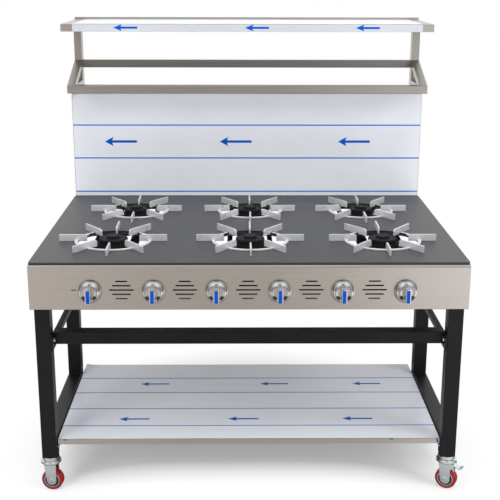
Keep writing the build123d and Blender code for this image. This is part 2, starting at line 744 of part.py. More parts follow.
def caster_fork(with_pedal):
    """Dish, deck and two cheeks with the axle bolt, about the swivel axis."""
    deck_top = deck_bottom + deck_thickness
    dish_top = deck_bottom + dish_height
    bore = kingpin_radius + running_clearance
    inside = dish_radius - dish_wall
    mouth = race_radius - race_overlap
    upper_run, upper_drop = dish_upper_corner
    dish = turned([(bore, deck_bottom), (dish_radius - dish_lower_corner, deck_bottom),
                   (dish_radius, deck_bottom + dish_lower_corner), (dish_radius, dish_top - upper_drop),
                   (dish_radius - upper_run, dish_top), (mouth, dish_top), (mouth, dish_top - dish_wall),
                   (inside, dish_top - dish_wall), (inside, deck_top + dish_bend), (inside - dish_bend, deck_top),
                   (bore, deck_top)])
    middle = fork_gap + cheek_thickness / 2
    pieces = [dish] + [cheek(side * middle, with_pedal) for side in (-1, 1)]
    outer = fork_gap + cheek_thickness
    axle = rod(caster_trail, -outer - axle_head_thickness, wheel_radius, axle_radius,
               2 * (outer + axle_head_thickness), "y")
    head = Pos(caster_trail, -outer, wheel_radius) * Rot(90, 0, 0) * extrude(
        RegularPolygon(axle_head_radius, 6), amount=axle_head_thickness)
    nut = Pos(caster_trail, outer, wheel_radius) * Rot(-90, 0, 0) * extrude(
        RegularPolygon(axle_head_radius, 6), amount=axle_head_thickness)
    pieces += [axle, head, nut]
    if with_pedal:
        pieces.append(rod(pedal_pivot_reach, -outer, pedal_pivot_height, pedal_pin_radius, 2 * outer, "y"))
    return joined(pieces)


def caster_wheel():
    """Tyre on its hub, about the axle."""
    half = wheel_width / 2
    tyre_outline = Polyline((hub_radius, -half), (wheel_radius - tyre_corner, -half),
                            (wheel_radius, -half + tyre_corner), (wheel_radius, half - tyre_corner),
                            (wheel_radius - tyre_corner, half), (hub_radius, half), close=True)
    tyre = revolve(make_face(tyre_outline), Axis.Y)
    bore = axle_radius + running_clearance
    rib = half - hub_recess
    boss = bore + hub_boss_wall
    rim = hub_radius - hub_rim_wall
    hub_outline = Polyline((bore, -half), (boss, -half), (boss, -rib), (rim, -rib), (rim, -half),
                           (hub_radius, -half), (hub_radius, half), (rim, half), (rim, rib),
                           (boss, rib), (boss, half), (bore, half), close=True)
    hub = revolve(make_face(hub_outline), Axis.Y)
    return [Pos(caster_trail, 0, wheel_radius) * piece for piece in (tyre, hub)]


def brake_pedal():
    """Bent sheet pedal with a shoe that reaches the tyre when it is pressed."""
    half = pedal_width / 2
    pivot = (pedal_pivot_reach, pedal_pivot_height)
    boss = rod(pivot[0], -half, pivot[1], pedal_boss_radius, pedal_width, "y")
    blade = xz_plate([(pivot[0], pivot[1] + pedal_boss_radius - pedal_sheet),
                      (pedal_bend_reach, pedal_bend_height), (pedal_tip_reach, pedal_tip_height),
                      (pedal_tip_reach, pedal_tip_height + pedal_sheet),
                      (pedal_bend_reach, pedal_bend_height + pedal_sheet),
                      (pivot[0], pivot[1] + pedal_boss_radius)], half)
    shoe = (pivot[0] + brake_shoe_reach, pivot[1] - brake_shoe_drop)
    arm = xz_plate([pivot, (pivot[0] + pedal_boss_radius, pivot[1]),
                    (shoe[0] + brake_shoe_radius, shoe[1]), (shoe[0] - brake_shoe_radius, shoe[1])], half)
    toe = rod(shoe[0], -half, shoe[1], brake_shoe_radius, pedal_width, "y")
    pedal = joined([boss, blade, arm, toe])
    return pedal - rod(pivot[0], -half - overcut, pivot[1], pedal_pin_radius + running_clearance,
                       pedal_width + 2 * overcut, "y")


# Upper rack
def rack_post(side):
    x0, x1 = sorted((side * post_inner_x, side * post_outer_x))
    return square_tube(x0, x1, post_front, post_front + post_depth, rise(-post_foot_drop),
                       shelf_deck - shelf_sheet, post_wall, "z")


def rack_front_bar():
    """Front bar with an arm back to each post."""
    z0 = rise(front_bar_rise)
    z1 = z0 + rack_bar_height
    y0 = post_front - front_bar_reach
    bar = square_tube(-post_outer_x, post_outer_x, y0, y0 + post_depth, z0, z1, post_wall, "x")
    arms = []
    for side in (-1, 1):
        x0, x1 = sorted((side * post_inner_x, side * post_outer_x))
        arms.append(square_tube(x0, x1, y0 + post_depth, post_front, z0, z1, post_wall, "y"))
    caps = [block(side * post_outer_x, side * (post_outer_x - post_wall), y0 + post_wall,
                  y0 + post_depth - post_wall, z0 + post_wall, z1 - post_wall) for side in (-1, 1)]
    return joined([bar] + arms + caps)


def rack_rear_bar():
    z0 = rise(rear_bar_rise)
    y0 = post_front + (post_depth - rear_bar_depth) / 2
    return square_tube(-post_inner_x, post_inner_x, y0, y0 + rear_bar_depth, z0, z0 + rack_bar_height,
                       post_wall, "x")


def rack_brace(side):
    """Sloping tube from the end of the front bar up to the post."""
    y0 = post_front - front_bar_reach
    z0 = rise(front_bar_rise) + rack_bar_height
    y1 = post_front
    z1 = rise(brace_top_rise)
    slope = math.atan2(z1 - z0, y1 - y0)
    foot = brace_thickness / math.sin(slope)
    drop = brace_thickness / math.cos(slope)
    brace = yz_plate([(y0, z0), (y1, z1), (y1, z1 - drop), (y0 + foot, z0)],
                     side * post_inner_x, side * post_outer_x)
    hollow_foot = post_wall / math.sin(slope)
    hollow_drop = post_wall / math.cos(slope)
    run = y1 - y0
    climb = z1 - z0
    inside = [(y0 + hollow_foot - run, z0 - climb), (y1 + hollow_foot + run, z1 + climb),
              (y1 + run, z1 - drop + hollow_drop + climb), (y0 + foot - hollow_foot - run, z0 - climb)]
    return brace - yz_plate(inside, side * (post_inner_x + post_wall), side * (post_outer_x - post_wall))


def rack_bolts():
    """Heads of the bolts that hold the posts to the rear panel."""
    x = post_outer_x - post_width / 2
    rear = post_front + post_depth
    pieces = []
    for side in (-1, 1):
        for drop in rack_bolt_drops:
            pieces.append(hex_head(side * x, rear, rise(-drop), rack_bolt_radius, rack_bolt_head, "+y"))
    return pieces


def backsplash():
    """Folded sheet that stands on the rear flange in front of the posts."""
    y0 = depth(box_depth - backsplash_return)
    half = half_width - backsplash_inset
    outer = block(-half, half, y0, post_front, plate_bottom, rise(backsplash_height))
    inner = block(-half + shelf_sheet, half - shelf_sheet, y0 + shelf_sheet, post_front + overcut,
                  plate_bottom - overcut, rise(backsplash_height) - shelf_sheet)
    return outer - inner


def upper_shelf():
    """Folded tray on the posts, with turned-in hems and a low upstand at the back."""
    half = half_width - upper_shelf_inset
    y0 = post_front - upper_shelf_reach
    y1 = y0 + upper_shelf_depth
    bottom = shelf_deck - upper_shelf_lip
    outer = block(-half, half, y0, y1, bottom, shelf_deck)
    inner = block(-half + shelf_sheet, half - shelf_sheet, y0 + shelf_sheet, y1 - shelf_sheet,
                  bottom - overcut, shelf_deck - shelf_sheet)
    tray = outer - inner
    for y, inward in ((y0, 1), (y1, -1)):
        tray += block(-half, half, y, y + inward * upper_shelf_hem, bottom, bottom + shelf_sheet)
    tray += block(-half, half, y1 - shelf_sheet, y1, shelf_deck - shelf_sheet, shelf_deck + upper_shelf_upstand)
    return tray


# Nodes
def build():
    nodes = {
        "cooktop_plate": [cooktop_plate()],
        "front_panel": [front_panel()],
        "side_panel_left": [side_panel(-1)],
        "side_panel_right": [side_panel(1)],
        "rear_panel": [rear_panel()],
        "burner_support_frame": burner_support_frame(),
        "heat_shield": [heat_shield()],
    }
    tubes = []
    for name, x, row in burners:
        nodes["burner_body_" + name] = [burner_body(x, row)]
        nodes["burner_cap_" + name] = burner_cap(x, row)
        nodes["pan_support_" + name] = [pan_support(x, row)]
        tubes.append(supply_tube(control_xs[feeds[name]], x, row))
    nodes["supply_tubes"] = tubes
    nodes["gas_valves"] = [gas_valve(x) for x in control_xs]
    nodes["manifold_pipe"] = [manifold_pipe()]
    for number, x in enumerate(control_xs, 1):
        nodes[f"knob_{number}"] = knob(x)
    casters = {
        "front_left": (-1, front_leg_y, front_left_yaw),
        "front_right": (1, front_leg_y, front_right_yaw),
        "rear_left": (-1, rear_leg_y, rear_left_yaw),
        "rear_right": (1, rear_leg_y, rear_right_yaw),
    }
    mounts = []
    for name, (side, y, yaw) in casters.items():
        nodes["leg_" + name] = [leg(side, y)]
        x = side * leg_centre_x
        centre = y + leg_size / 2
        place = Pos(x, centre, 0) * Rot(0, 0, yaw)
        braked = name == "front_right"
        nodes["caster_fork_" + name] = [place * caster_fork(braked)]
        nodes["caster_wheel_" + name] = [place * piece for piece in caster_wheel()]
        mounts.append(caster_mount(x, centre))
        if braked:
            nodes["brake_pedal"] = [place * brake_pedal()]
    nodes["caster_mounts"] = mounts
    nodes["upper_side_rails"] = [upper_side_rail(side) for side in (-1, 1)]
    nodes["front_cross_bar"] = [front_cross_bar()] + [end_plate(side) for side in (-1, 1)]
    nodes["frame_bolts"] = frame_bolts()
    nodes["lower_side_rails"] = [piece for side in (-1, 1) for piece in lower_side_rail(side)]
    nodes["lower_shelf"] = [lower_shelf()]
    nodes["rack_posts"] = [rack_post(side) for side in (-1, 1)]
    nodes["rack_front_bar"] = [rack_front_bar()]
    nodes["rack_rear_bar"] = [rack_rear_bar()]
    nodes["rack_braces"] = [rack_brace(side) for side in (-1, 1)]
    nodes["rack_bolts"] = rack_bolts()
    nodes["backsplash"] = [backsplash()]
    nodes["upper_shelf"] = [upper_shelf()]
    return nodes


os.makedirs("parts", exist_ok=True)
for node, solids in build().items():
    shape = solids[0] if len(solids) == 1 else Compound(children=solids)
    export_step(shape, f"parts/{node}.step")
    print(node, len(solids), round(sum(solid.volume for solid in solids)))
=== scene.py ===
# %% [markdown]
# # A six-burner gas range, dressed for its picture
# The model comes in as a finished frame: every sheet, tube and casting already has its size and
# its place, in metres. This lesson adds what the eye looks for after that: soft edges that catch
# the light, the grain of the steel, the film that still covers the new sheets, and the small
# parts that are turned, cast or pressed.

# %% Load the frame
import json
import math
import bmesh
import bpy
from mathutils import Matrix, Vector, noise

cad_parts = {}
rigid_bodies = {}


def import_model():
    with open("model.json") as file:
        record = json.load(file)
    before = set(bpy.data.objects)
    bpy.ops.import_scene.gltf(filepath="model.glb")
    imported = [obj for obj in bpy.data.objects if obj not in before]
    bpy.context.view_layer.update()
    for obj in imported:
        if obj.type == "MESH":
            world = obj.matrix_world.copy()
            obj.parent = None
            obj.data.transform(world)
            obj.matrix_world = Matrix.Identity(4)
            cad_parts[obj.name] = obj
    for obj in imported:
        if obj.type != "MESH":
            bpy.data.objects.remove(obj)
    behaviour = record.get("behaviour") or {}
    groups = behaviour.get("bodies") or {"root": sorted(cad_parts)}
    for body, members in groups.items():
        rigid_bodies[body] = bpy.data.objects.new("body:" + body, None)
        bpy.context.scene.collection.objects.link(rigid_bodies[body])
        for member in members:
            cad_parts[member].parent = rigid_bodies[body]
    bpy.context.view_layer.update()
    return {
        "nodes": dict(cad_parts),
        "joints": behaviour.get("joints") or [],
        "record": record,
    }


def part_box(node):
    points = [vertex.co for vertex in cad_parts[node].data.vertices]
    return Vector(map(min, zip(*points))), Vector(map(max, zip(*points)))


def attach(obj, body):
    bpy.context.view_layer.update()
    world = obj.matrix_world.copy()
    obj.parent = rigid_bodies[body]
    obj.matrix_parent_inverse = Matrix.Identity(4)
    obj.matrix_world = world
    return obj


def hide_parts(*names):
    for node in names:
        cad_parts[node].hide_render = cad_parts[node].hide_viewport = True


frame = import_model()

# %% [markdown]
# ## Camera
# The camera stands a little over three metres in front of the middle of the range, above its
# top, and looks down by some fifteen degrees. It could be aimed by eye, but the edges of the
# range in a picture give the angles, so they are written here as turns about the camera's own
# axes.

# %% Place the camera
camera_place = Vector((-0.0307, -3.1072, 1.4562))
camera_pitch = 0.27172
camera_yaw = -0.01193
camera_roll = 0.0024
lens_mm = 73.2
sensor_mm = 36
forward = Vector((0, math.cos(camera_pitch), -math.sin(camera_pitch)))
upward = Vector((0, math.sin(camera_pitch), math.cos(camera_pitch)))
sideways = Vector((1, 0, 0))
right = math.cos(camera_roll) * sideways + math.sin(camera_roll) * upward
up = math.cos(camera_roll) * upward - math.sin(camera_roll) * sideways
turn = Matrix((right, up, -forward)).transposed()
turn = Matrix.Rotation(camera_yaw, 3, "Z") @ turn
camera_data = bpy.data.cameras.new("camera")
camera_data.lens = lens_mm
camera_data.sensor_width = sensor_mm
camera = bpy.data.objects.new("camera", camera_data)
camera.matrix_world = Matrix.Translation(camera_place) @ turn.to_4x4()
bpy.context.scene.collection.objects.link(camera)
bpy.context.scene.camera = camera
print("camera at", tuple(round(v, 3) for v in camera_place))

# %% [markdown]
# ## Lamps
# A wide soft lamp hangs over the range, a weaker one stands in front on the left and one on the
# right. One small strong lamp would be simpler, but its shadows would be hard. The lamps are
# hidden from glossy rays, so the steel shows the room and not three bright squares.

# %% Hang the lamps
def soft_lamp(name, place, target, size, power):
    lamp_data = bpy.data.lights.new(name, "AREA")
    lamp_data.shape = "RECTANGLE"
    lamp_data.size, lamp_data.size_y = size
    lamp_data.energy = power
    lamp = bpy.data.objects.new(name, lamp_data)
    lamp.visible_glossy = False
    aim = (Vector(target) - Vector(place)).to_track_quat("-Z", "Y")
    lamp.matrix_world = Matrix.Translation(place) @ aim.to_matrix().to_4x4()
    bpy.context.scene.collection.objects.link(lamp)


soft_lamp("lamp_over", (0.0, -0.3, 3.1), target=(0, 0, 0.6), size=(2.6, 2.2), power=58)
soft_lamp("lamp_front_left", (-2.4, -3.4, 2.4), target=(0, -0.2, 0.7), size=(1.6, 1.6), power=48)
soft_lamp("lamp_right", (2.7, -1.8, 1.9), target=(0, 0, 0.6), size=(1.4, 1.8), power=32)
print("lamps hung")

# %% [markdown]
# ## The room around the range
# Steel shows whatever stands around it, so the room matters as much as the lamps. A photograph
# of a studio could be wrapped around the scene. Here the room is painted with nodes instead:
# ramps of colour that read the direction of a ray. The front is dim low down, with two bright
# windows above, the far sides are dark and the back is white. Only glossy rays see this room.
# The camera sees plain white, and every other ray finds an even, slightly blue glow.

# %% Tools for trees of nodes
def add_node(tree, kind, settings=None, values=None):
    made = tree.nodes.new(kind)
    for key, value in (settings or {}).items():
        setattr(made, key, value)
    for key, value in (values or {}).items():
        if isinstance(value, bpy.types.NodeSocket):
            tree.links.new(value, made.inputs[key])
        else:
            made.inputs[key].default_value = value
    return made


def calculate(tree, operation, *terms):
    values = dict(enumerate(terms))
    return add_node(tree, "ShaderNodeMath", {"operation": operation}, values).outputs[0]


def remap(tree, source, start, end, low=0.0, high=1.0):
    values = {"Value": source, "From Min": start, "From Max": end, "To Min": low, "To Max": high}
    return add_node(tree, "ShaderNodeMapRange", values=values).outputs["Result"]


def color_ramp(tree, source, stops):
    ramp = add_node(tree, "ShaderNodeValToRGB", values={"Fac": source})
    elements = ramp.color_ramp.elements
    while len(elements) < len(stops):
        elements.new(0.5)
    for element, (place, colour) in zip(elements, stops):
        element.position = place
        element.color = (*colour, 1)
    return ramp.outputs["Color"]


def mix_colours(tree, share, first, second, blend_type="MIX"):
    settings = {"data_type": "RGBA", "blend_type": blend_type}
    values = {"Factor": share, 6: first, 7: second}
    return add_node(tree, "ShaderNodeMix", settings, values).outputs[2]


def mix_shaders(tree, share, first, second):
    values = {0: share, 1: first, 2: second}
    return add_node(tree, "ShaderNodeMixShader", values=values).outputs[0]


# %% Paint the room
white = (1, 1, 1, 1)
world = bpy.data.worlds.new("studio")
bpy.context.scene.world = world
world.use_nodes = True
tree = world.node_tree
tree.nodes.clear()
direction = add_node(tree, "ShaderNodeTexCoord").outputs["Generated"]
towards = add_node(tree, "ShaderNodeSeparateXYZ", values={"Vector": direction}).outputs
dim_front = color_ramp(tree, remap(tree, towards["X"], -0.5, 0.5), [
    (0.20, (0.86, 0.80, 0.75)), (0.36, (0.46, 0.43, 0.40)), (0.45, (0.27, 0.26, 0.25)),
    (0.62, (0.28, 0.27, 0.27)), (0.74, (1.20, 1.18, 1.16))])
off_centre = calculate(tree, "ABSOLUTE", towards["X"])
two_windows = color_ramp(tree, off_centre, [
    (0.0, (0.42, 0.41, 0.40)), (0.16, (0.42, 0.41, 0.40)),
    (0.30, (1.1, 1.1, 1.1)), (1.0, (1.0, 1.0, 1.0))])
dim_sides = color_ramp(tree, off_centre, [(0.60, (1, 1, 1)), (0.86, (0.14, 0.13, 0.13))])
front = mix_colours(tree, remap(tree, towards["Z"], 0.12, 0.34), dim_front, two_windows)
room = mix_colours(tree, 1.0, front, dim_sides, "MULTIPLY")
studio = mix_colours(tree, remap(tree, towards["Y"], -0.30, 0.25), room, white)
print("room painted with", len(tree.nodes), "nodes")

# %% Choose what each ray sees of the world
path = add_node(tree, "ShaderNodeLightPath").outputs
seen = calculate(tree, "MAXIMUM", path["Is Camera Ray"], path["Is Transmission Ray"])
backgrounds = []
for colour, strength in (((0.80, 0.81, 0.84, 1), 0.70), (studio, 1.0), (white, 1.0)):
    made = add_node(tree, "ShaderNodeBackground", values={"Color": colour, "Strength": strength})
    backgrounds.append(made.outputs[0])
glow, mirror, blank = backgrounds
lit_or_mirrored = mix_shaders(tree, path["Is Glossy Ray"], glow, mirror)
all_rays = mix_shaders(tree, seen, lit_or_mirrored, blank)
add_node(tree, "ShaderNodeOutputWorld", values={"Surface": all_rays})
bpy.context.scene.view_settings.view_transform = "Standard"
print("world made")

# %% [markdown]
# ## Floor
# The range stands on a pale floor that keeps its soft shadow and is white farther out. A curved
# backdrop could do that, but a plane is enough when its finish fades to blank white. It does so
# outside an oval, and in front of a curve that runs farther forward at the sides. The camera
# sees this floor a little brighter than it is lit.

# %% Lay the floor
def new_finish(name, colour, roughness, metallic=0.0):
    finish = bpy.data.materials.new(name)
    finish.use_nodes = True
    shader = finish.node_tree.nodes["Principled BSDF"]
    shader.inputs["Base Color"].default_value = (*colour, 1)
    shader.inputs["Roughness"].default_value = roughness
    shader.inputs["Metallic"].default_value = metallic
    return finish, finish.node_tree, shader


floor_size, floor_drop, floor_lift = 14, 0.0004, 0.27
bpy.ops.object.select_all(action="DESELECT")
bpy.ops.mesh.primitive_plane_add(size=floor_size, location=(0, 0, -floor_drop))
floor = bpy.context.active_object
floor.name = "floor"
bpy.ops.object.transform_apply(location=True, rotation=True, scale=True)
floor_finish, tree, shader = new_finish("pale_floor", (0.82, 0.82, 0.82), 0.9)
path = add_node(tree, "ShaderNodeLightPath").outputs
lift = calculate(tree, "MULTIPLY", path["Is Camera Ray"], floor_lift)
tree.links.new(lift, shader.inputs["Emission Strength"])
shader.inputs["Emission Color"].default_value = white
print("floor laid")

# %% Fade the floor to white
def stretched(tree, source, scale, shift=(0, 0, 0)):
    values = {"Vector": source, "Scale": scale, "Location": shift}
    return add_node(tree, "ShaderNodeMapping", values=values).outputs["Vector"]


oval_start, oval_end = 0.56, 0.80
edge_bow, edge_start, edge_end = 1.3, -0.28, -0.42
where = add_node(tree, "ShaderNodeTexCoord").outputs["Object"]
spot = add_node(tree, "ShaderNodeSeparateXYZ", values={"Vector": where}).outputs
oval = stretched(tree, where, (1.05, 0.95, 0), (0, 0.14, 0))
away = add_node(tree, "ShaderNodeVectorMath", {"operation": "LENGTH"}, {0: oval}).outputs["Value"]
outside_oval = remap(tree, away, oval_start, oval_end)
squared = calculate(tree, "MULTIPLY", spot["X"], spot["X"])
fourth = calculate(tree, "MULTIPLY", squared, squared)
shade_edge = calculate(tree, "MULTIPLY_ADD", fourth, edge_bow, spot["Y"])
in_front = remap(tree, shade_edge, edge_start, edge_end)
open_floor = calculate(tree, "MAXIMUM", outside_oval, in_front)
far_seen = calculate(tree, "MULTIPLY", open_floor, path["Is Camera Ray"])
blank = add_node(tree, "ShaderNodeEmission", values={"Color": white, "Strength": 1.0}).outputs[0]
looked_at = mix_shaders(tree, far_seen, shader.outputs[0], blank)
print("floor fades to white")

# %% [markdown]
# ### What the steel sees of the floor
# A brushed sheet mirrors the floor in front of it as a soft gradient. The lit floor would give
# one even grey, so glossy rays see a painted one: pale on the left, dim in the middle, bright
# on the right, and dark in a box around the footprint of the range.

# %% Paint the mirrored floor
shade_start, shade_end, shade_light = 0.95, 1.2, 0.18
sheen = color_ramp(tree, remap(tree, spot["X"], -1.5, 1.5), [
    (0.0, (0.95, 0.91, 0.88)), (0.22, (0.72, 0.68, 0.66)), (0.42, (0.54, 0.50, 0.47)),
    (0.62, (0.56, 0.53, 0.50)), (0.82, (1.05, 1.05, 1.05)), (1.0, (1.5, 1.5, 1.5))])
footprint = stretched(tree, where, (0.95, 1.8, 0), (0, -0.18, 0))
reach = add_node(tree, "ShaderNodeVectorMath", {"operation": "ABSOLUTE"}, {0: footprint})
sides = add_node(tree, "ShaderNodeSeparateXYZ", values={"Vector": reach.outputs["Vector"]}).outputs
farther = calculate(tree, "MAXIMUM", sides["X"], sides["Y"])
out_of_shade = remap(tree, farther, shade_start, shade_end, low=shade_light)
mirrored = add_node(tree, "ShaderNodeEmission", values={"Color": sheen, "Strength": out_of_shade})
chosen = mix_shaders(tree, path["Is Glossy Ray"], looked_at, mirrored.outputs[0])
tree.links.new(chosen, tree.nodes["Material Output"].inputs["Surface"])
floor.data.materials.append(floor_finish)
print("floor painted with", len(tree.nodes), "nodes")

# %% [markdown]
# ## Finishes
# A finish is more than a colour. Brushed steel has fine lines along the way it was drawn, paint
# has the faint skin of an orange, a casting has the grain of its sand. Each finish here is a
# Principled shader whose colour, roughness and bump come from noise that is stretched or scaled
# to the real grain. Object coordinates carry the pattern, so it stays on its piece.

# %% Tools for finishes
noise_span = (0.3, 0.7)


def grain(tree, scale, detail, stretch=(1, 1, 1), roughness=0.5):
    where = add_node(tree, "ShaderNodeTexCoord").outputs["Object"]
    values = {"Vector": stretched(tree, where, stretch), "Scale": scale, "Detail": detail,
              "Roughness": roughness}
    return add_node(tree, "ShaderNodeTexNoise", values=values).outputs[0]


def tint(tree, shader, source, dark, light):
    colour = color_ramp(tree, source, list(zip(noise_span, (dark, light))))
    tree.links.new(colour, shader.inputs["Base Color"])


def roughen(tree, shader, source, low, high, span=noise_span):
    tree.links.new(remap(tree, source, *span, low, high), shader.inputs["Roughness"])


def raise_bump(tree, shader, source, strength, distance):
    values = {"Height": source, "Strength": strength, "Distance": distance}
    bump = add_node(tree, "ShaderNodeBump", values=values)
    tree.links.new(bump.outputs["Normal"], shader.inputs["Normal"])


def shade(colour, factor):
    return tuple(min(1.0, value * factor) for value in colour)


# %% [markdown]
# ### Brushed stainless steel
# The panel, the shell and the rack are stainless sheet and tube with a long brushed grain. A
# picture of scratches could be laid on them, but a noise stretched almost two hundred times
# stays sharp on a long bar. The grain runs along each piece, so each steel is made in the
# directions that it is needed in. A second, much wider noise stands for the faint clouds of
# handling. The rack is a darker steel than the sheets, and its rear bar is darker still, a
# painted shade.

# %% Brushed steel along each direction
along_x, along_y, along_z = (5, 900, 900), (900, 5, 900), (900, 900, 5)
steel_roughness = 0.30


def brushed_steel(name, colour, stretch):
    finish, tree, shader = new_finish(name, colour, steel_roughness, metallic=1.0)
    lines = grain(tree, 1.0, 4.0, stretch, roughness=0.7)
    clouds = grain(tree, 3.0, 2.0)
    tint(tree, shader, lines, shade(colour, 0.86), shade(colour, 1.10))
    handled = calculate(tree, "MULTIPLY_ADD", clouds, 0.35, lines)
    roughen(tree, shader, handled, steel_roughness - 0.05, steel_roughness + 0.10, span=(0.4, 0.9))
    raise_bump(tree, shader, lines, strength=0.12, distance=0.00008)
    return finish


stainless_colour = (0.60, 0.57, 0.53)
steel_across = brushed_steel("stainless_across", stainless_colour, along_x)
steel_deep = brushed_steel("stainless_deep", stainless_colour, along_y)
rack_colour = shade(stainless_colour, 0.78)
rack_across = brushed_steel("rack_across", rack_colour, along_x)
rack_upright = brushed_steel("rack_upright", rack_colour, along_z)
rack_deep = brushed_steel("rack_deep", rack_colour, along_y)
# painted shade: the rear bar's steel is made darker still for the shade it stands in
shaded_rear_bar = brushed_steel("rack_rear_bar_painted_shade", shade(rack_colour, 0.62), along_x)
print("brushed steel made")

# %% [markdown]
# ### Enamelled plate, powder coat and iron
# The top is dark satin enamel: nearly smooth, with a very fine speckle and a few wiped clouds.
# The leg frame is powder coated, which leaves a fine orange skin. Bowls and caps are black cast
# iron, rough from the sand. Plain black would hide all that, so each dark finish gets a noise
# at the scale of its own grain and a specular level of its own.

# %% Dark finishes
plate_finish, tree, shader = new_finish("plate_enamel", (0.050, 0.050, 0.052), 0.38)
shader.inputs["Specular IOR Level"].default_value = 0.32
speckle = grain(tree, 1400, 2.0)
tint(tree, shader, speckle, (0.035, 0.035, 0.036), (0.054, 0.054, 0.056))
roughen(tree, shader, grain(tree, 4.5, 3.0), 0.385, 0.405)
raise_bump(tree, shader, speckle, strength=0.10, distance=0.00010)

powder_finish, tree, shader = new_finish("black_powder_coat", (0.016, 0.016, 0.017), 0.42)
shader.inputs["Specular IOR Level"].default_value = 0.25
skin = grain(tree, 650, 2.0)
tint(tree, shader, grain(tree, 9, 3.0), (0.005, 0.005, 0.0054), (0.008, 0.008, 0.0084))
roughen(tree, shader, skin, 0.36, 0.48)
raise_bump(tree, shader, skin, strength=0.16, distance=0.00015)

iron_finish, tree, shader = new_finish("cast_iron_black", (0.012, 0.012, 0.0125), 0.62)
shader.inputs["Specular IOR Level"].default_value = 0.20
sand = grain(tree, 520, 5.0, roughness=0.7)
tint(tree, shader, sand, (0.006, 0.006, 0.0065), (0.017, 0.017, 0.0175))
roughen(tree, shader, sand, 0.52, 0.74)
raise_bump(tree, shader, sand, strength=0.35, distance=0.0004)
print("dark finishes made")

# %% [markdown]
# ### Plated and bare small parts
# The pan supports are bright zinc on flat steel and show pale clouds, and the back arc of each
# ring gets a painted shade, a dark finish for the shade and dark reflection there. The casters
# have a bluer zinc, with a painted shade in the recesses of the hubs. The knobs are satin chrome,
# with a painted shade at the rim, the valves brass, the injector tubes drawn metal and the gas
# pipe grey zinc paint.
# They share one recipe, clouds over a finer grain, because plating looks alike on all of them.

# %% Plated finishes
def plated(name, colour, roughness, cloud_scale, contrast, bump=0.08):
    finish, tree, shader = new_finish(name, colour, roughness, metallic=1.0)
    clouds = grain(tree, cloud_scale, 4.0, roughness=0.6)
    tint(tree, shader, clouds, shade(colour, 1 - contrast), shade(colour, 1 + contrast / 2))
    roughen(tree, shader, clouds, roughness - 0.06, roughness + 0.10)
    raise_bump(tree, shader, grain(tree, cloud_scale * 14, 2.0), strength=bump, distance=0.0001)
    return finish


# Each line gives the colour, the roughness, the scale of the clouds and their contrast
# painted shade for the back arc of each pan support's ring
back_arc_shade_finish = plated("support_back_arc_painted_shade", (0.045, 0.045, 0.05), 0.36, 55, 0.20, bump=0.04)
caster_finish = plated("caster_zinc_plate", (0.76, 0.84, 0.87), 0.27, 70, 0.12)
chrome_finish = plated("satin_chrome", (0.68, 0.68, 0.685), 0.13, 40, 0.06, bump=0.03)
# painted shade for the knob's rim and the patches of its dish
rim_shade_finish = plated("knob_rim_painted_shade", (0.10, 0.10, 0.10), 0.25, 40, 0.10, bump=0.03)
brass_finish = plated("turned_brass", (0.70, 0.53, 0.25), 0.28, 90, 0.14)
tube_finish = plated("drawn_tube", (0.70, 0.70, 0.71), 0.30, 60, 0.12)
hub_finish = plated("hub_silver", (0.80, 0.82, 0.84), 0.32, 90, 0.10)
# painted shade for the recesses of the wheel's hub
recess_shade_finish = plated("hub_recess_painted_shade", (0.10, 0.10, 0.105), 0.40, 90, 0.15)
print("plated finishes made")

# %% Zinc of the pan supports and of the gas pipe
support_finish, tree, shader = new_finish("support_zinc", (0.72, 0.725, 0.74), 0.28, 0.40)
clouds = grain(tree, 45, 4.0, roughness=0.6)
tint(tree, shader, clouds, (0.68, 0.685, 0.70), (0.76, 0.765, 0.78))
roughen(tree, shader, clouds, 0.26, 0.36)
raise_bump(tree, shader, grain(tree, 600, 2.0), strength=0.03, distance=0.0001)

pipe_finish, tree, shader = new_finish("gas_pipe_zinc", (0.30, 0.30, 0.31), 0.45, 0.6)
patches = grain(tree, 45, 4.0)
tint(tree, shader, patches, (0.24, 0.24, 0.25), (0.36, 0.36, 0.37))
roughen(tree, shader, patches, 0.38, 0.55)
raise_bump(tree, shader, grain(tree, 700, 2.0), strength=0.12, distance=0.0001)
print("zinc finishes made")

# %% [markdown]
# ### Plastic, tyre and print
# The knobs' inserts and the film's print are blue, and the tyres are red polyurethane. None of
# them is quite even in colour, so one fine noise moves colour, roughness and bump together.

# %% Moulded and printed finishes
def moulded(name, colour, roughness, scale, bump, gloss=0.5):
    finish, tree, shader = new_finish(name, colour, roughness)
    shader.inputs["Specular IOR Level"].default_value = gloss
    pattern = grain(tree, scale, 3.0)
    tint(tree, shader, pattern, shade(colour, 0.88), shade(colour, 1.12))
    roughen(tree, shader, pattern, roughness - 0.05, roughness + 0.08)
    raise_bump(tree, shader, pattern, strength=bump, distance=0.0001)
    return finish


insert_finish = moulded("blue_insert", (0.0, 0.085, 0.52), 0.45, 300, bump=0.06, gloss=0.10)
tyre_finish = moulded("red_tyre", (0.34, 0.008, 0.010), 0.40, 240, bump=0.14)
print_finish = moulded("film_print_blue", (0.0, 0.098, 0.56), 0.55, 400, bump=0.04, gloss=0.08)
line_finish = moulded("film_line_blue", (0.040, 0.19, 0.62), 0.45, 400, bump=0.04, gloss=0.2)
print("moulded finishes made")

# %% [markdown]
# ### Protective film
# New sheets leave the factory under a thin white film. It is nearly opaque, a little bluish, and
# as glossy as soft plastic, with faint clouds where it holds air and long shallow wrinkles from
# the roller. The wrinkles could be modelled, but they are so shallow that a stretched noise in
# the bump is enough. The film of the upper shelf has its own darker version, a painted shade,
# and the main film is made a little lighter, a painted light.

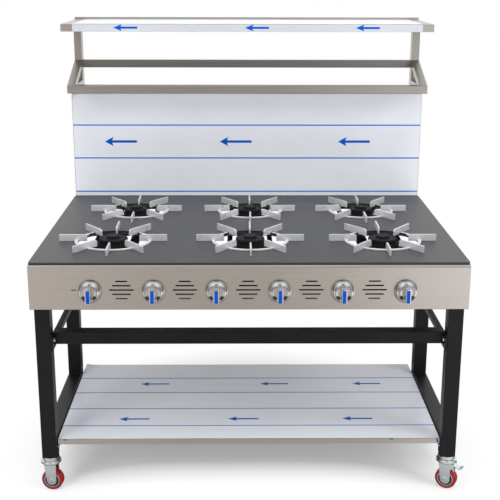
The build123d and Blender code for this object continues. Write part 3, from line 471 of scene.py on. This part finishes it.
# %% Film finish
def protective_film(name, share):
    finish, tree, shader = new_finish(name, shade((0.80, 0.82, 0.87), share), 0.34)
    clouds = grain(tree, 5.0, 4.0)
    tint(tree, shader, clouds, shade((0.78, 0.80, 0.85), share), shade((0.83, 0.85, 0.90), share))
    roughen(tree, shader, clouds, 0.28, 0.42)
    wrinkles = grain(tree, 1.0, 3.0, (3.0, 34, 34))
    raise_bump(tree, shader, wrinkles, strength=0.10, distance=0.0008)
    return finish


# the main film is a little lighter, a painted light, and the upper shelf's film darker, a painted
# shade
film_finish = protective_film("protective_film", 1.04)
shaded_upper_film_finish = protective_film("protective_film_upper_painted_shade", 0.75)
print("films made")

# %% [markdown]
# ## Dressing the frame's own pieces
# Most sheets, tubes and castings already have the right shape, so they stay and only get their
# finish. The grain follows the length of each piece: across the panel and back along the side
# panels. The frame names a material slot for every piece, and each slot gets one finish.

# %% Give every piece of the frame its finish
slot_finish = {
    "plate_steel": plate_finish, "stainless": steel_across, "filmed_stainless": steel_across,
    "black_frame": powder_finish, "burner_iron": iron_finish, "pan_support_steel": support_finish,
    "knob_chrome": chrome_finish, "valve_brass": brass_finish, "gas_pipe": pipe_finish,
    "tube_metal": tube_finish, "caster_zinc": caster_finish, "caster_red": tyre_finish,
}
own_direction = {"side_panel_left": steel_deep, "side_panel_right": steel_deep}
node_slot = {part["node"]: part["material_slot"] for part in frame["record"]["subparts"]}
for name, thing in frame["nodes"].items():
    for holder in thing.material_slots:
        holder.material = own_direction.get(name, slot_finish[node_slot[name]])
print("dressed", len(frame["nodes"]), "pieces")

# %% [markdown]
# ## Tools for modelling
# Every operator of Blender works on what is selected, so each step starts by choosing one piece
# and ends by setting its modifiers or its place. Faces and edges are picked in code, by a test
# of their place or direction, because nothing here is clicked on. To pick selects what passes
# the test, to paint gives the picked faces a finish of their own, and to settle a piece puts
# its place into its mesh, so that it sits at the origin as the frame's pieces do.

# %% Choose a piece and open its mesh
def choose(piece):
    bpy.ops.object.select_all(action="DESELECT")
    piece.select_set(True)
    bpy.context.view_layer.objects.active = piece


def open_mesh(piece, kind="FACE"):
    choose(piece)
    bpy.ops.object.mode_set(mode="EDIT")
    bpy.ops.mesh.select_mode(type=kind)
    bpy.ops.mesh.select_all(action="DESELECT")


def close_mesh():
    bpy.ops.object.mode_set(mode="OBJECT")


def pick(piece, kind, test):
    bpy.ops.mesh.select_mode(type=kind)
    bpy.ops.mesh.select_all(action="DESELECT")
    shape = bmesh.from_edit_mesh(piece.data)
    found = {"FACE": shape.faces, "EDGE": shape.edges, "VERT": shape.verts}[kind]
    count = 0
    for item in found:
        if test(item):
            item.select_set(True)
            count += 1
    shape.select_flush_mode()
    bmesh.update_edit_mesh(piece.data)
    return count


def paint(piece, finish, test):
    piece.data.materials.append(finish)
    count = pick(piece, "FACE", test)
    piece.active_material_index = len(piece.data.materials) - 1
    bpy.ops.object.material_slot_assign()
    return count


# %% Copy, join, settle and smooth
def new_copy(name, mesh):
    piece = bpy.data.objects.new(name, mesh.copy())
    bpy.context.scene.collection.objects.link(piece)
    return piece


def join(pieces, name):
    choose(pieces[0])
    for piece in pieces[1:]:
        piece.select_set(True)
    bpy.ops.object.join()
    pieces[0].name = name
    return pieces[0]


def apply_modifiers(piece):
    choose(piece)
    for modifier in list(piece.modifiers):
        bpy.ops.object.modifier_apply(modifier=modifier.name)


def settle(piece):
    choose(piece)
    bpy.ops.object.transform_apply(location=True, rotation=True, scale=True)


def smooth(piece, degrees):
    choose(piece)
    bpy.ops.object.shade_smooth_by_angle(angle=math.radians(degrees))


# %% [markdown]
# ## Soft edges on sheet and tube
# Real edges are never sharp, and the light runs along them. A rounded edge could be faked in
# the shader, but then the outline stays hard, so each piece is copied and bevelled. The loose
# triangles of the copy are joined into flat faces, and every sharp edge is rounded by a
# fraction of a millimetre. Weighted normals then keep the large faces flat, so that only the
# narrow bevels shade round.

# %% Make a softened copy
merge_distance = 0.000002
flat_angle = math.radians(0.4)
sharp_angle = math.radians(30)


def body_of(node):
    for body, members in frame["record"]["behaviour"]["bodies"].items():
        if node in members:
            return body
    return "range"


def softened(node, width, finish):
    piece = new_copy(node + "_soft", frame["nodes"][node].data)
    open_mesh(piece)
    bpy.ops.mesh.select_all(action="SELECT")
    bpy.ops.mesh.customdata_custom_splitnormals_clear()
    bpy.ops.mesh.remove_doubles(threshold=merge_distance)
    bpy.ops.mesh.dissolve_limited(angle_limit=flat_angle)
    close_mesh()
    bevel = piece.modifiers.new("soft_edges", "BEVEL")
    bevel.width = width
    bevel.segments = 2
    bevel.limit_method = "ANGLE"
    bevel.angle_limit = sharp_angle
    bevel.use_clamp_overlap = True
    apply_modifiers(piece)
    smooth(piece, 40)
    true_faces = piece.modifiers.new("true_faces", "WEIGHTED_NORMAL")
    true_faces.keep_sharp = True
    apply_modifiers(piece)
    piece.data.materials.clear()
    piece.data.materials.append(finish)
    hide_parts(node)
    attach(piece, body_of(node))
    return piece


# %% Soften the tubes and bars of the leg frame and the rack
leg_edge, rail_edge, rack_edge = 0.0012, 0.001, 0.0008
for name in ("leg_front_left", "leg_front_right", "leg_rear_left", "leg_rear_right"):
    softened(name, leg_edge, powder_finish)
for name in ("upper_side_rails", "front_cross_bar", "lower_side_rails"):
    softened(name, rail_edge, powder_finish)
rack_steel = {"rack_posts": rack_upright, "rack_front_bar": rack_across,
              "rack_rear_bar": shaded_rear_bar, "rack_braces": rack_deep}
for name, finish in rack_steel.items():
    softened(name, rack_edge, finish)
print("softened the leg frame and the rack")

# %% Soften the sheets
thin_edge, plate_edge, panel_edge = 0.0005, 0.0006, 0.0007
for name in ("backsplash", "upper_shelf", "lower_shelf"):
    softened(name, thin_edge, steel_across)
softened("cooktop_plate", plate_edge, plate_finish)
softened("front_panel", panel_edge, steel_across)
print("softened the sheets")

# %% [markdown]
# ## Pan supports and burner caps
# The fins of a pan support are cut from flat bar, and their edges are worn smooth by pans. The
# cap is a casting: its ports have slightly broken edges. The back arc of a support's ring gets a
# painted shade: a dark finish that stands in for the shade and dark reflection there. A gradient
# could fade it in, but the dark band is narrow, so the faces there are picked by their place on
# the ring and get the dark finish.

# %% Soften the burners' loose pieces
fin_edge, cap_edge = 0.0009, 0.0004
ring_radii = {"front": 0.1125, "rear": 0.1055}
ring_share, back_share = 0.78, 0.55
ring_drop = 0.004


def on_back_arc(face, axis, ring_radius):
    place = face.calc_center_median() - axis
    on_ring = ring_share * ring_radius < place.xy.length < ring_radius
    return on_ring and place.z < -ring_drop and place.y > back_share * ring_radius


for row, ring_radius in ring_radii.items():
    for column in ("left", "centre", "right"):
        place = row + "_" + column
        support = softened("pan_support_" + place, fin_edge, support_finish)
        support_low, support_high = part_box("pan_support_" + place)
        axis = (support_low + support_high) / 2
        open_mesh(support)
        # painted shade: the faces on the ring's back arc get a dark finish that stands in for the
        # shade there
        count = paint(support, back_arc_shade_finish, lambda face: on_back_arc(face, axis, ring_radius))
        close_mesh()
        print("painted shade on", count, "faces of", place)
        softened("burner_cap_" + place, cap_edge, iron_finish)
print("softened the supports and caps")

# %% [markdown]
# ## Control knobs
# A knob of this kind is die cast and plated: a domed skirt, a shallow dish in its face and a bar
# to grip, which slopes down to the rim at its top. A blue plastic insert lies in a pocket of the
# bar. It could be one lathe profile with a box on it. Here the skirt is grown ring by ring from a
# disc, which gives the dome its soft shoulder, and the bar is a box that is bevelled, cut on the
# slant and inset for its pocket. The foot of the skirt and two patches low in the dish get a
# painted shade: a dark plating that stands in for the shade and dark reflections there. One knob
# is made, then copied to the six valves.

# %% Grow a shape ring by ring
def new_disc(name, radius, vertices, fill="NGON"):
    bpy.ops.object.select_all(action="DESELECT")
    bpy.ops.mesh.primitive_circle_add(vertices=vertices, radius=radius, fill_type=fill)
    piece = bpy.context.active_object
    piece.name = name
    return piece


def climb(steps):
    bpy.ops.mesh.select_all(action="SELECT")
    bpy.ops.transform.translate(value=(0, 0, steps[0][1]))
    for (radius, height), (next_radius, next_height) in zip(steps, steps[1:]):
        lift = {"value": (0, 0, next_height - height)}
        bpy.ops.mesh.extrude_region_move(TRANSFORM_OT_translate=lift)
        factor = next_radius / radius
        bpy.ops.transform.resize(value=(factor, factor, 1), center_override=(0, 0, next_height))


def tidy_normals(piece):
    open_mesh(piece)
    bpy.ops.mesh.select_all(action="SELECT")
    bpy.ops.mesh.remove_doubles(threshold=0.000001)
    bpy.ops.mesh.normals_make_consistent(inside=False)
    close_mesh()


def grown(name, steps, vertices):
    piece = new_disc(name, steps[0][0], vertices)
    open_mesh(piece)
    climb(steps)
    close_mesh()
    tidy_normals(piece)
    piece.data.materials.append(chrome_finish)
    return piece


# %% The skirt and the stem
skirt_steps = [
    (0.0325, 0.0), (0.0328, 0.0004), (0.0328, 0.0022), (0.0325, 0.0040), (0.0318, 0.0065),
    (0.0308, 0.0090), (0.0293, 0.0120), (0.0275, 0.0148), (0.0256, 0.0170), (0.0243, 0.0182),
    (0.0236, 0.0187), (0.0229, 0.0187), (0.0222, 0.0182), (0.0216, 0.0174), (0.0205, 0.0170),
    (0.0150, 0.0169)]
stem_steps = [(0.0034, -0.0240), (0.0040, -0.0234), (0.0040, 0.0004), (0.0036, 0.0010)]
skirt = grown("knob_skirt", skirt_steps, 72)
stem = grown("knob_stem", stem_steps, 32)
print("skirt", len(skirt.data.polygons), "faces, stem", len(stem.data.polygons))

# %% Paint shade on the rim and two patches of the dish
rim_top, rim_start = 0.0052, 0.030
dish_start, dish_end, dish_floor = 0.0150, 0.0238, 0.015
patch_start, patch_end = 26, 60


def in_shadow(face):
    place = face.calc_center_median()
    radius = place.xy.length
    angle = math.degrees(math.atan2(-place.y, abs(place.x)))
    in_dish = dish_start < radius < dish_end and place.z > dish_floor
    on_rim = place.z < rim_top and radius > rim_start
    return on_rim or (in_dish and patch_start < angle < patch_end)


# painted shade: the rim and two dish patches get a dark plating that stands in for their shade
open_mesh(skirt)
print("darkened", paint(skirt, rim_shade_finish, in_shadow), "faces")
close_mesh()

# %% The grip bar and its insert
grip_place, grip_size = (0, -0.0006, 0.0295), (0.015, 0.0458, 0.027)
grip_corner, grip_edge = 0.0036, 0.0008
grip_top, slant_start, slant_rise = 0.0430, 0.0176, 0.85
pocket_wall, pocket_depth, insert_gap = 0.0018, 0.0012, 0.0002
bpy.ops.object.select_all(action="DESELECT")
bpy.ops.mesh.primitive_cube_add(size=1, location=grip_place, scale=grip_size)
grip = bpy.context.active_object
grip.name = "knob_grip"
settle(grip)
open_mesh(grip)
pick(grip, "EDGE", lambda edge: abs(edge.verts[0].co.z - edge.verts[1].co.z) > 0.02)
bpy.ops.mesh.bevel(offset=grip_corner, segments=5, affect="EDGES")
bpy.ops.mesh.select_all(action="SELECT")
bpy.ops.mesh.bisect(plane_co=(0, slant_start, grip_top), plane_no=(0, 1, slant_rise),
                    use_fill=True, clear_outer=True)
pick(grip, "FACE", lambda face: face.normal.z > 0.99)
bpy.ops.mesh.region_to_loop()
bpy.ops.mesh.bevel(offset=grip_edge, segments=2, affect="EDGES")
near_top = grip_top - 0.001
pick(grip, "FACE", lambda face: face.normal.z > 0.99 and face.calc_center_median().z > near_top)
bpy.ops.mesh.inset(thickness=pocket_wall, depth=0)
bpy.ops.mesh.inset(thickness=0.0001, depth=-pocket_depth)
bpy.ops.mesh.inset(thickness=insert_gap, depth=0)
bpy.ops.mesh.extrude_region_move(TRANSFORM_OT_translate={"value": (0, 0, pocket_depth)})
bpy.ops.mesh.inset(thickness=0.0005, depth=0.0002)
grip.data.materials.append(chrome_finish)
grip.data.materials.append(insert_finish)
bpy.ops.mesh.select_more()
bpy.ops.mesh.select_more()
grip.active_material_index = 1
bpy.ops.object.material_slot_assign()
close_mesh()
print("grip", len(grip.data.polygons), "faces")

# %% Join one knob and copy it to the valves
facing_front = (math.pi / 2, 0, 0)
front_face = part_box("front_panel")[0].y
knob_gap = 0.0005
pattern_knob = join([grip, skirt, stem], "pattern_knob")
smooth(pattern_knob, 32)
for number in range(1, 7):
    low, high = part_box(f"knob_{number}")
    knob = new_copy(f"knob_dressed_{number}", pattern_knob.data)
    knob.rotation_euler = facing_front
    knob.location = ((low.x + high.x) / 2, front_face - knob_gap, (low.z + high.z) / 2)
    settle(knob)
    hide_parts(f"knob_{number}")
    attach(knob, f"control_{number}")
bpy.data.objects.remove(pattern_knob)
print("knobs set on the valves")

# %% [markdown]
# ## Casters
# A caster wheel is a red polyurethane tyre cast round a silver hub, with a recess on each side
# that gets a painted shade: a dark finish that stands in for the shade in it. Its section could
# be drawn as a curve and turned with the Screw modifier. Here it is grown from the bore outwards,
# over the tread and back to the bore, with the same steps as the knob's skirt, and the two ends
# are bridged. The forks, the mounts and the brake pedal are pressed sheet and keep the frame's
# shape, with softened edges.

# %% Grow a wheel
half = 0.0125
bore_end, recess_shade_start, recess_shade_end, tyre_start = 0.0041, 0.0090, 0.0200, 0.0227
wheel_steps = [
    (0.00405, -0.0122), (0.0046, -half), (0.0078, -half), (0.0084, -0.0121), (0.0086, -0.0106),
    (0.0130, -0.0098), (0.0190, -0.0100), (0.0198, -0.0106), (0.0200, -0.0121), (0.0204, -half),
    (0.0224, -half), (0.0226, -0.0123), (0.0229, -0.0120), (0.0234, -half), (0.0268, -half),
    (0.0284, -0.0121), (0.0298, -0.0110), (0.0307, -0.0092), (0.03095, -0.0060),
    (0.0310, -0.0020)]
wheel_steps += [(radius, -height) for radius, height in reversed(wheel_steps)]
wheel = new_disc("wheel", wheel_steps[0][0], 72, fill="NOTHING")
wheel.data.materials.append(hub_finish)
open_mesh(wheel, "EDGE")
climb(wheel_steps)
pick(wheel, "EDGE", lambda edge: all(vertex.co.xy.length < bore_end for vertex in edge.verts))
bpy.ops.mesh.bridge_edge_loops()
paint(wheel, tyre_finish, lambda face: face.calc_center_median().xy.length > tyre_start)
# painted shade: the recess faces get a dark finish that stands in for the shade in them
paint(wheel, recess_shade_finish,
      lambda face: recess_shade_start < face.calc_center_median().xy.length < recess_shade_end)
close_mesh()
tidy_normals(wheel)
smooth(wheel, 34)
print("wheel", len(wheel.data.polygons), "faces")

# %% Copy the wheel to the forks
corners = ("front_left", "front_right", "rear_left", "rear_right")
for corner in corners:
    joint = next(j for j in frame["joints"] if j["name"] == "roll_" + corner)
    axle = Vector(joint["axis"]).to_track_quat("Z", "X").to_matrix().to_4x4()
    copy = new_copy("wheel_dressed_" + corner, wheel.data)
    copy.matrix_world = Matrix.Translation(joint["pos_m"]) @ axle
    settle(copy)
    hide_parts("caster_wheel_" + corner)
    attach(copy, "wheel_" + corner)
bpy.data.objects.remove(wheel)
print("wheels set in the forks")

# %% Soften the pressed parts of the casters and the bolts
pressed_edge, bolt_edge = 0.0005, 0.0006
for corner in corners:
    softened("caster_fork_" + corner, pressed_edge, caster_finish)
softened("brake_pedal", pressed_edge, caster_finish)
softened("caster_mounts", pressed_edge, caster_finish)
for name in ("frame_bolts", "rack_bolts"):
    softened(name, bolt_edge, caster_finish)
print("casters dressed")

# %% [markdown]
# ## Protective film on the new sheets
# The backsplash, the upper shelf and the lower shelf still carry their film. It could be a
# colour on the steel, but then it would have no edge. Here it is a sheet of its own, a fraction
# of a millimetre over the steel, so it can lift at a corner and lie in faint waves. A grid is
# laid down, cut along the printed lines, waved by a small noise and turned to its place. The
# faces between the cuts get the blue of the lines.

# %% Lay a film with printed lines
def film_sheet(name, width, height, cells, finish=film_finish, lines=(), line_width=0.0):
    bpy.ops.object.select_all(action="DESELECT")
    bpy.ops.mesh.primitive_grid_add(x_subdivisions=cells[0], y_subdivisions=cells[1], size=1)
    film = bpy.context.active_object
    film.name = name
    film.scale = (width, height, 1)
    settle(film)
    film.data.materials.append(finish)
    half_line = line_width / 2
    open_mesh(film)
    for line in lines:
        for edge in (line - half_line, line + half_line):
            bpy.ops.mesh.select_all(action="SELECT")
            bpy.ops.mesh.bisect(plane_co=(0, edge, 0), plane_no=(0, 1, 0))
    count = paint(film, line_finish, lambda face: any(
        abs(face.calc_center_median().y - line) < half_line for line in lines))
    close_mesh()
    print(name, "with", count, "line faces")
    return film


# %% Wave a film and peel its corners
film_lift = 0.0003
wave_stretch = 2.2
curl_back = 0.5


def wave(film, height, size):
    for vertex in film.data.vertices:
        place = Vector((vertex.co.x, vertex.co.y * wave_stretch, 0)) / size
        vertex.co.z += film_lift + height * (0.5 + 0.5 * noise.noise(place))


def peel(film, corner, reach, height):
    for vertex in film.data.vertices:
        gap = (vertex.co.xy - Vector(corner)).length
        if gap < reach:
            share = 1 - gap / reach
            curl = height * curl_back * share ** 2
            vertex.co.z += height * share ** 1.5
            vertex.co.x -= math.copysign(curl, corner[0])
            vertex.co.y -= math.copysign(curl, corner[1])


# %% The backsplash film
line_rises, line_width = (0.2475, 0.1335, 0.0157), 0.0046
bare_below, bare_above, bare_beside = 0.0015, 0.0010, 0.004
peel_spacing = 0.09
sheet_low, sheet_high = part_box("backsplash")
plate_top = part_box("cooktop_plate")[1].z
film_low, film_high = plate_top + bare_below, sheet_high.z - bare_above
film_width = sheet_high.x - sheet_low.x - bare_beside
film_middle = (film_low + film_high) / 2
backsplash_film = film_sheet(
    "backsplash_film", film_width, film_high - film_low, (60, 16),
    lines=[plate_top + rise - film_middle for rise in line_rises], line_width=line_width)
wave(backsplash_film, height=0.0006, size=0.16)
corner_x, corner_y = -film_width / 2, (film_high - film_low) / 2
peel(backsplash_film, (corner_x, corner_y), reach=0.030, height=0.006)
peel(backsplash_film, (corner_x + peel_spacing, corner_y), reach=0.018, height=0.003)
backsplash_film.rotation_euler = facing_front
backsplash_film.location = (0, sheet_low.y, film_middle)
settle(backsplash_film)

# %% The lower shelf film
line_depths, line_width = (0.4625, 0.3465, 0.2256, 0.1063), 0.0050
bare_beside, bare_ends = 0.003, 0.002
deck_low, deck_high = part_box("lower_shelf")
deck_width, deck_depth = deck_high.x - deck_low.x, deck_high.y - deck_low.y
deck_middle = (deck_low.y + deck_high.y) / 2
shelf_film = film_sheet(
    "lower_shelf_film", deck_width - bare_beside, deck_depth - bare_ends, (60, 30),
    lines=[front_face + back - deck_middle for back in line_depths], line_width=line_width)
wave(shelf_film, height=0.0007, size=0.14)
peel(shelf_film, (-deck_width / 2, deck_depth / 2), reach=0.030, height=0.004)
shelf_film.location = (0, deck_middle, deck_high.z)
settle(shelf_film)

# %% The upper shelf film, on the deck and on the lip
film_left, film_right = -0.5612, 0.5619
film_width, film_middle = film_right - film_left, (film_left + film_right) / 2
deck_rise, film_depth, lip_height, lip_drop = 0.594, 0.294, 0.0232, 0.0120
cut_width, cut_slope = 0.008, (0.011, -0.008)
tray_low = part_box("upper_shelf")[0]
tray_deck = plate_top + deck_rise
upper_film = film_sheet("upper_shelf_film", film_width, film_depth, (60, 16), shaded_upper_film_finish)
wave(upper_film, height=0.0005, size=0.12)
upper_film.location = (film_middle, tray_low.y + film_depth / 2, tray_deck)
settle(upper_film)
lip_film = film_sheet("upper_lip_film", film_width, lip_height, (60, 6), shaded_upper_film_finish)
open_mesh(lip_film)
for side in (-1, 1):
    bpy.ops.mesh.select_all(action="SELECT")
    notch = (side * (film_width / 2 - cut_width), -lip_height / 2, 0)
    bpy.ops.mesh.bisect(plane_co=notch, plane_no=(side * cut_slope[0], cut_slope[1], 0),
                        clear_outer=True)
close_mesh()
wave(lip_film, height=0.0004, size=0.12)
lip_film.rotation_euler = facing_front
lip_film.location = (film_middle, tray_low.y, tray_deck - lip_drop)
settle(lip_film)

# %% [markdown]
# ### Scraps of film
# Where the film was torn off the lower shelf's front edge, three scraps of its print are left.
# Cut out of the big film they would need a fine grid all over it, so they are small grids of
# their own, turned to face the front. The one at the right corner leans.

# %% Leave three scraps on the lower shelf
# Each line gives the place along the shelf, the width, the height and the lean in degrees
scrap_drop = 0.0006
scrap_shapes = [
    (-0.5246, 0.0080, 0.0030, 0), (0.4071, 0.0090, 0.0030, 0),
    (deck_high.x - 0.0065, 0.0050, 0.0120, -16)]
scraps = []
for x, width, height, lean in scrap_shapes:
    bpy.ops.object.select_all(action="DESELECT")
    bpy.ops.mesh.primitive_grid_add(x_subdivisions=2, y_subdivisions=4, size=1)
    scrap = bpy.context.active_object
    scrap.scale = (width, height, 1)
    scrap.rotation_euler = (math.pi / 2, math.radians(lean), 0)
    scrap.location = (x, deck_low.y - film_lift, deck_high.z - height / 2 - scrap_drop)
    settle(scrap)
    scrap.data.materials.append(print_finish)
    scraps.append(scrap)
shelf_scraps = join(scraps, "lower_shelf_scraps")
print("left", len(scraps), "scraps")

# %% Give the films their thickness
film_thickness = 0.0001
for film in (backsplash_film, shelf_film, upper_film, lip_film, shelf_scraps):
    thickness = film.modifiers.new("film_thickness", "SOLIDIFY")
    thickness.thickness = film_thickness
    thickness.offset = 1
    apply_modifiers(film)
    smooth(film, 50)
    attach(film, "range")
print("films laid")

# %% [markdown]
# ### Arrows on the film
# The film is printed with plain arrows that show the way of the grain. They could be faces of
# the film, like the lines, but a swept head needs a finer grid. So one arrow is modelled as a
# bar with a swept head, cut into short strips so that it can bend, and each copy is pressed
# onto its film with a Shrinkwrap modifier.

# %% Model one arrow
head_overlap = 0.82
head_sweep = 0.27
triangle_height, triangle_base = 1.5, 1.732


def new_arrow(length, head, spread, shaft):
    bar_start = head * head_overlap
    bpy.ops.object.select_all(action="DESELECT")
    bpy.ops.mesh.primitive_plane_add(size=1, location=((bar_start + length) / 2, 0, 0))
    bar = bpy.context.active_object
    bar.scale = (length - bar_start, shaft, 1)
    settle(bar)
    bpy.ops.mesh.primitive_circle_add(vertices=3, radius=1, fill_type="NGON")
    point = bpy.context.active_object
    open_mesh(point)
    pick(point, "EDGE", lambda edge: abs(edge.verts[0].co.y - edge.verts[1].co.y) < 0.1)
    bpy.ops.mesh.subdivide(number_cuts=1)
    pick(point, "VERT", lambda vertex: abs(vertex.co.x) < 0.1 and vertex.co.y < 0)
    bpy.ops.transform.translate(value=(0, head_sweep, 0))
    close_mesh()
    point.rotation_euler = (0, 0, math.pi / 2)
    settle(point)
    point.scale = (head / triangle_height, spread / triangle_base, 1)
    point.location = (head * 2 / 3, 0, 0)
    settle(point)
    arrow = join([bar, point], "arrow")
    open_mesh(arrow)
    bpy.ops.mesh.select_all(action="SELECT")
    bpy.ops.mesh.subdivide(number_cuts=5)
    close_mesh()
    arrow.data.materials.append(print_finish)
    return arrow


large_arrow = new_arrow(length=0.110, head=0.029, spread=0.0320, shaft=0.0082)
middle_arrow = new_arrow(length=0.091, head=0.027, spread=0.0300, shaft=0.0085)
small_arrow = new_arrow(length=0.077, head=0.027, spread=0.0215, shaft=0.0066)
print("an arrow has", len(large_arrow.data.polygons), "faces")

# %% Print the arrows on the films
over_film = 0.0015
print_thickness = 0.00012


def print_arrows(name, film, arrow, tips, facing=(0, 0, 0)):
    copies = []
    for tip in tips:
        copy = new_copy(name, arrow.data)
        copy.rotation_euler = facing
        copy.location = tip
        settle(copy)
        copies.append(copy)
    row = join(copies, name)
    press = row.modifiers.new("press_on_film", "SHRINKWRAP")
    press.target = film
    press.wrap_method = "NEAREST_SURFACEPOINT"
    press.wrap_mode = "OUTSIDE_SURFACE"
    press.offset = print_thickness
    apply_modifiers(row)
    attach(row, "range")


def row_of_tips(xs, y, z):
    return [(x, y, z) for x in xs]


over_deck = deck_high.z + over_film
back_tips = row_of_tips((-0.4892, -0.0942, 0.3135), sheet_low.y - over_film, plate_top + 0.1907)
deck_tips = row_of_tips((-0.3451, 0.0390, 0.3366), front_face + 0.4150, over_deck)
deck_tips += row_of_tips((-0.3863, -0.0618, 0.2779), front_face + 0.1515, over_deck)
lip_tips = row_of_tips((-0.4305, -0.0087, 0.3469), tray_low.y - over_film, tray_deck - 0.0112)
print_arrows("backsplash_arrows", backsplash_film, large_arrow, back_tips, facing_front)
print_arrows("lower_shelf_arrows", shelf_film, middle_arrow, deck_tips)
print_arrows("upper_shelf_arrows", lip_film, small_arrow, lip_tips, facing_front)
for arrow in (large_arrow, middle_arrow, small_arrow):
    bpy.data.objects.remove(arrow)
print("arrows printed")

# %% [markdown]
# ## Weld beads
# The rails of the leg frame are welded to the legs and painted over. A bead could be left to
# the bump, but it stands out of the corner and catches the light. It is a thin cylinder laid
# into the corner and cut across many times, whose rings swell and shrink in turn, as they do
# where the weld pool moved on.

# %% Model one weld bead
cut_spacing = 0.0011
ripple_height, ripple_length = 0.13, 0.0021
end_share = 0.55
wander_share, wander_scale = 0.12, 240


def weld_bead(start, end, radius):
    run = Vector(end) - Vector(start)
    bpy.ops.object.select_all(action="DESELECT")
    bpy.ops.mesh.primitive_cylinder_add(vertices=10, radius=radius, depth=run.length)
    bead = bpy.context.active_object
    open_mesh(bead, "EDGE")
    pick(bead, "EDGE", lambda edge: abs(edge.verts[0].co.z - edge.verts[1].co.z) > run.length / 2)
    bpy.ops.mesh.subdivide(number_cuts=max(6, int(run.length / cut_spacing)))
    close_mesh()
    for vertex in bead.data.vertices:
        ripple = 1 + ripple_height * math.sin(vertex.co.z / ripple_length * math.pi)
        ends = min(1.0, (run.length / 2 - abs(vertex.co.z)) / (2 * radius) + end_share)
        wander = wander_share * radius * noise.noise(Vector((0, 0, vertex.co.z * wander_scale)))
        vertex.co.x = vertex.co.x * ripple * ends + wander
        vertex.co.y = vertex.co.y * ripple * ends
    along = run.to_track_quat("Z", "Y").to_matrix().to_4x4()
    bead.matrix_world = Matrix.Translation((Vector(start) + Vector(end)) / 2) @ along
    settle(bead)
    smooth(bead, 60)
    bead.data.materials.append(powder_finish)
    return bead


# %% Lay the beads where the rails meet the legs
level_radius, upright_radius = 0.0016, 0.0014
rail_drop, rail_height, inset = 0.522, 0.039, 0.003
rail_top = plate_top - rail_drop
beads = []
for side in ("left", "right"):
    leg_low, leg_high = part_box("leg_front_" + side)
    rear_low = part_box("leg_rear_" + side)[0]
    outer = leg_low.x if side == "left" else leg_high.x
    for y in (leg_high.y, rear_low.y):
        beads.append(weld_bead((leg_low.x + inset, y, rail_top), (leg_high.x - inset, y, rail_top),
                               level_radius))
        beads.append(weld_bead((outer, y, rail_top - rail_height), (outer, y, rail_top - inset),
                               upright_radius))
rail_beads = join(beads, "rail_weld_beads")
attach(rail_beads, "range")
print("beads", len(rail_beads.data.polygons), "faces")
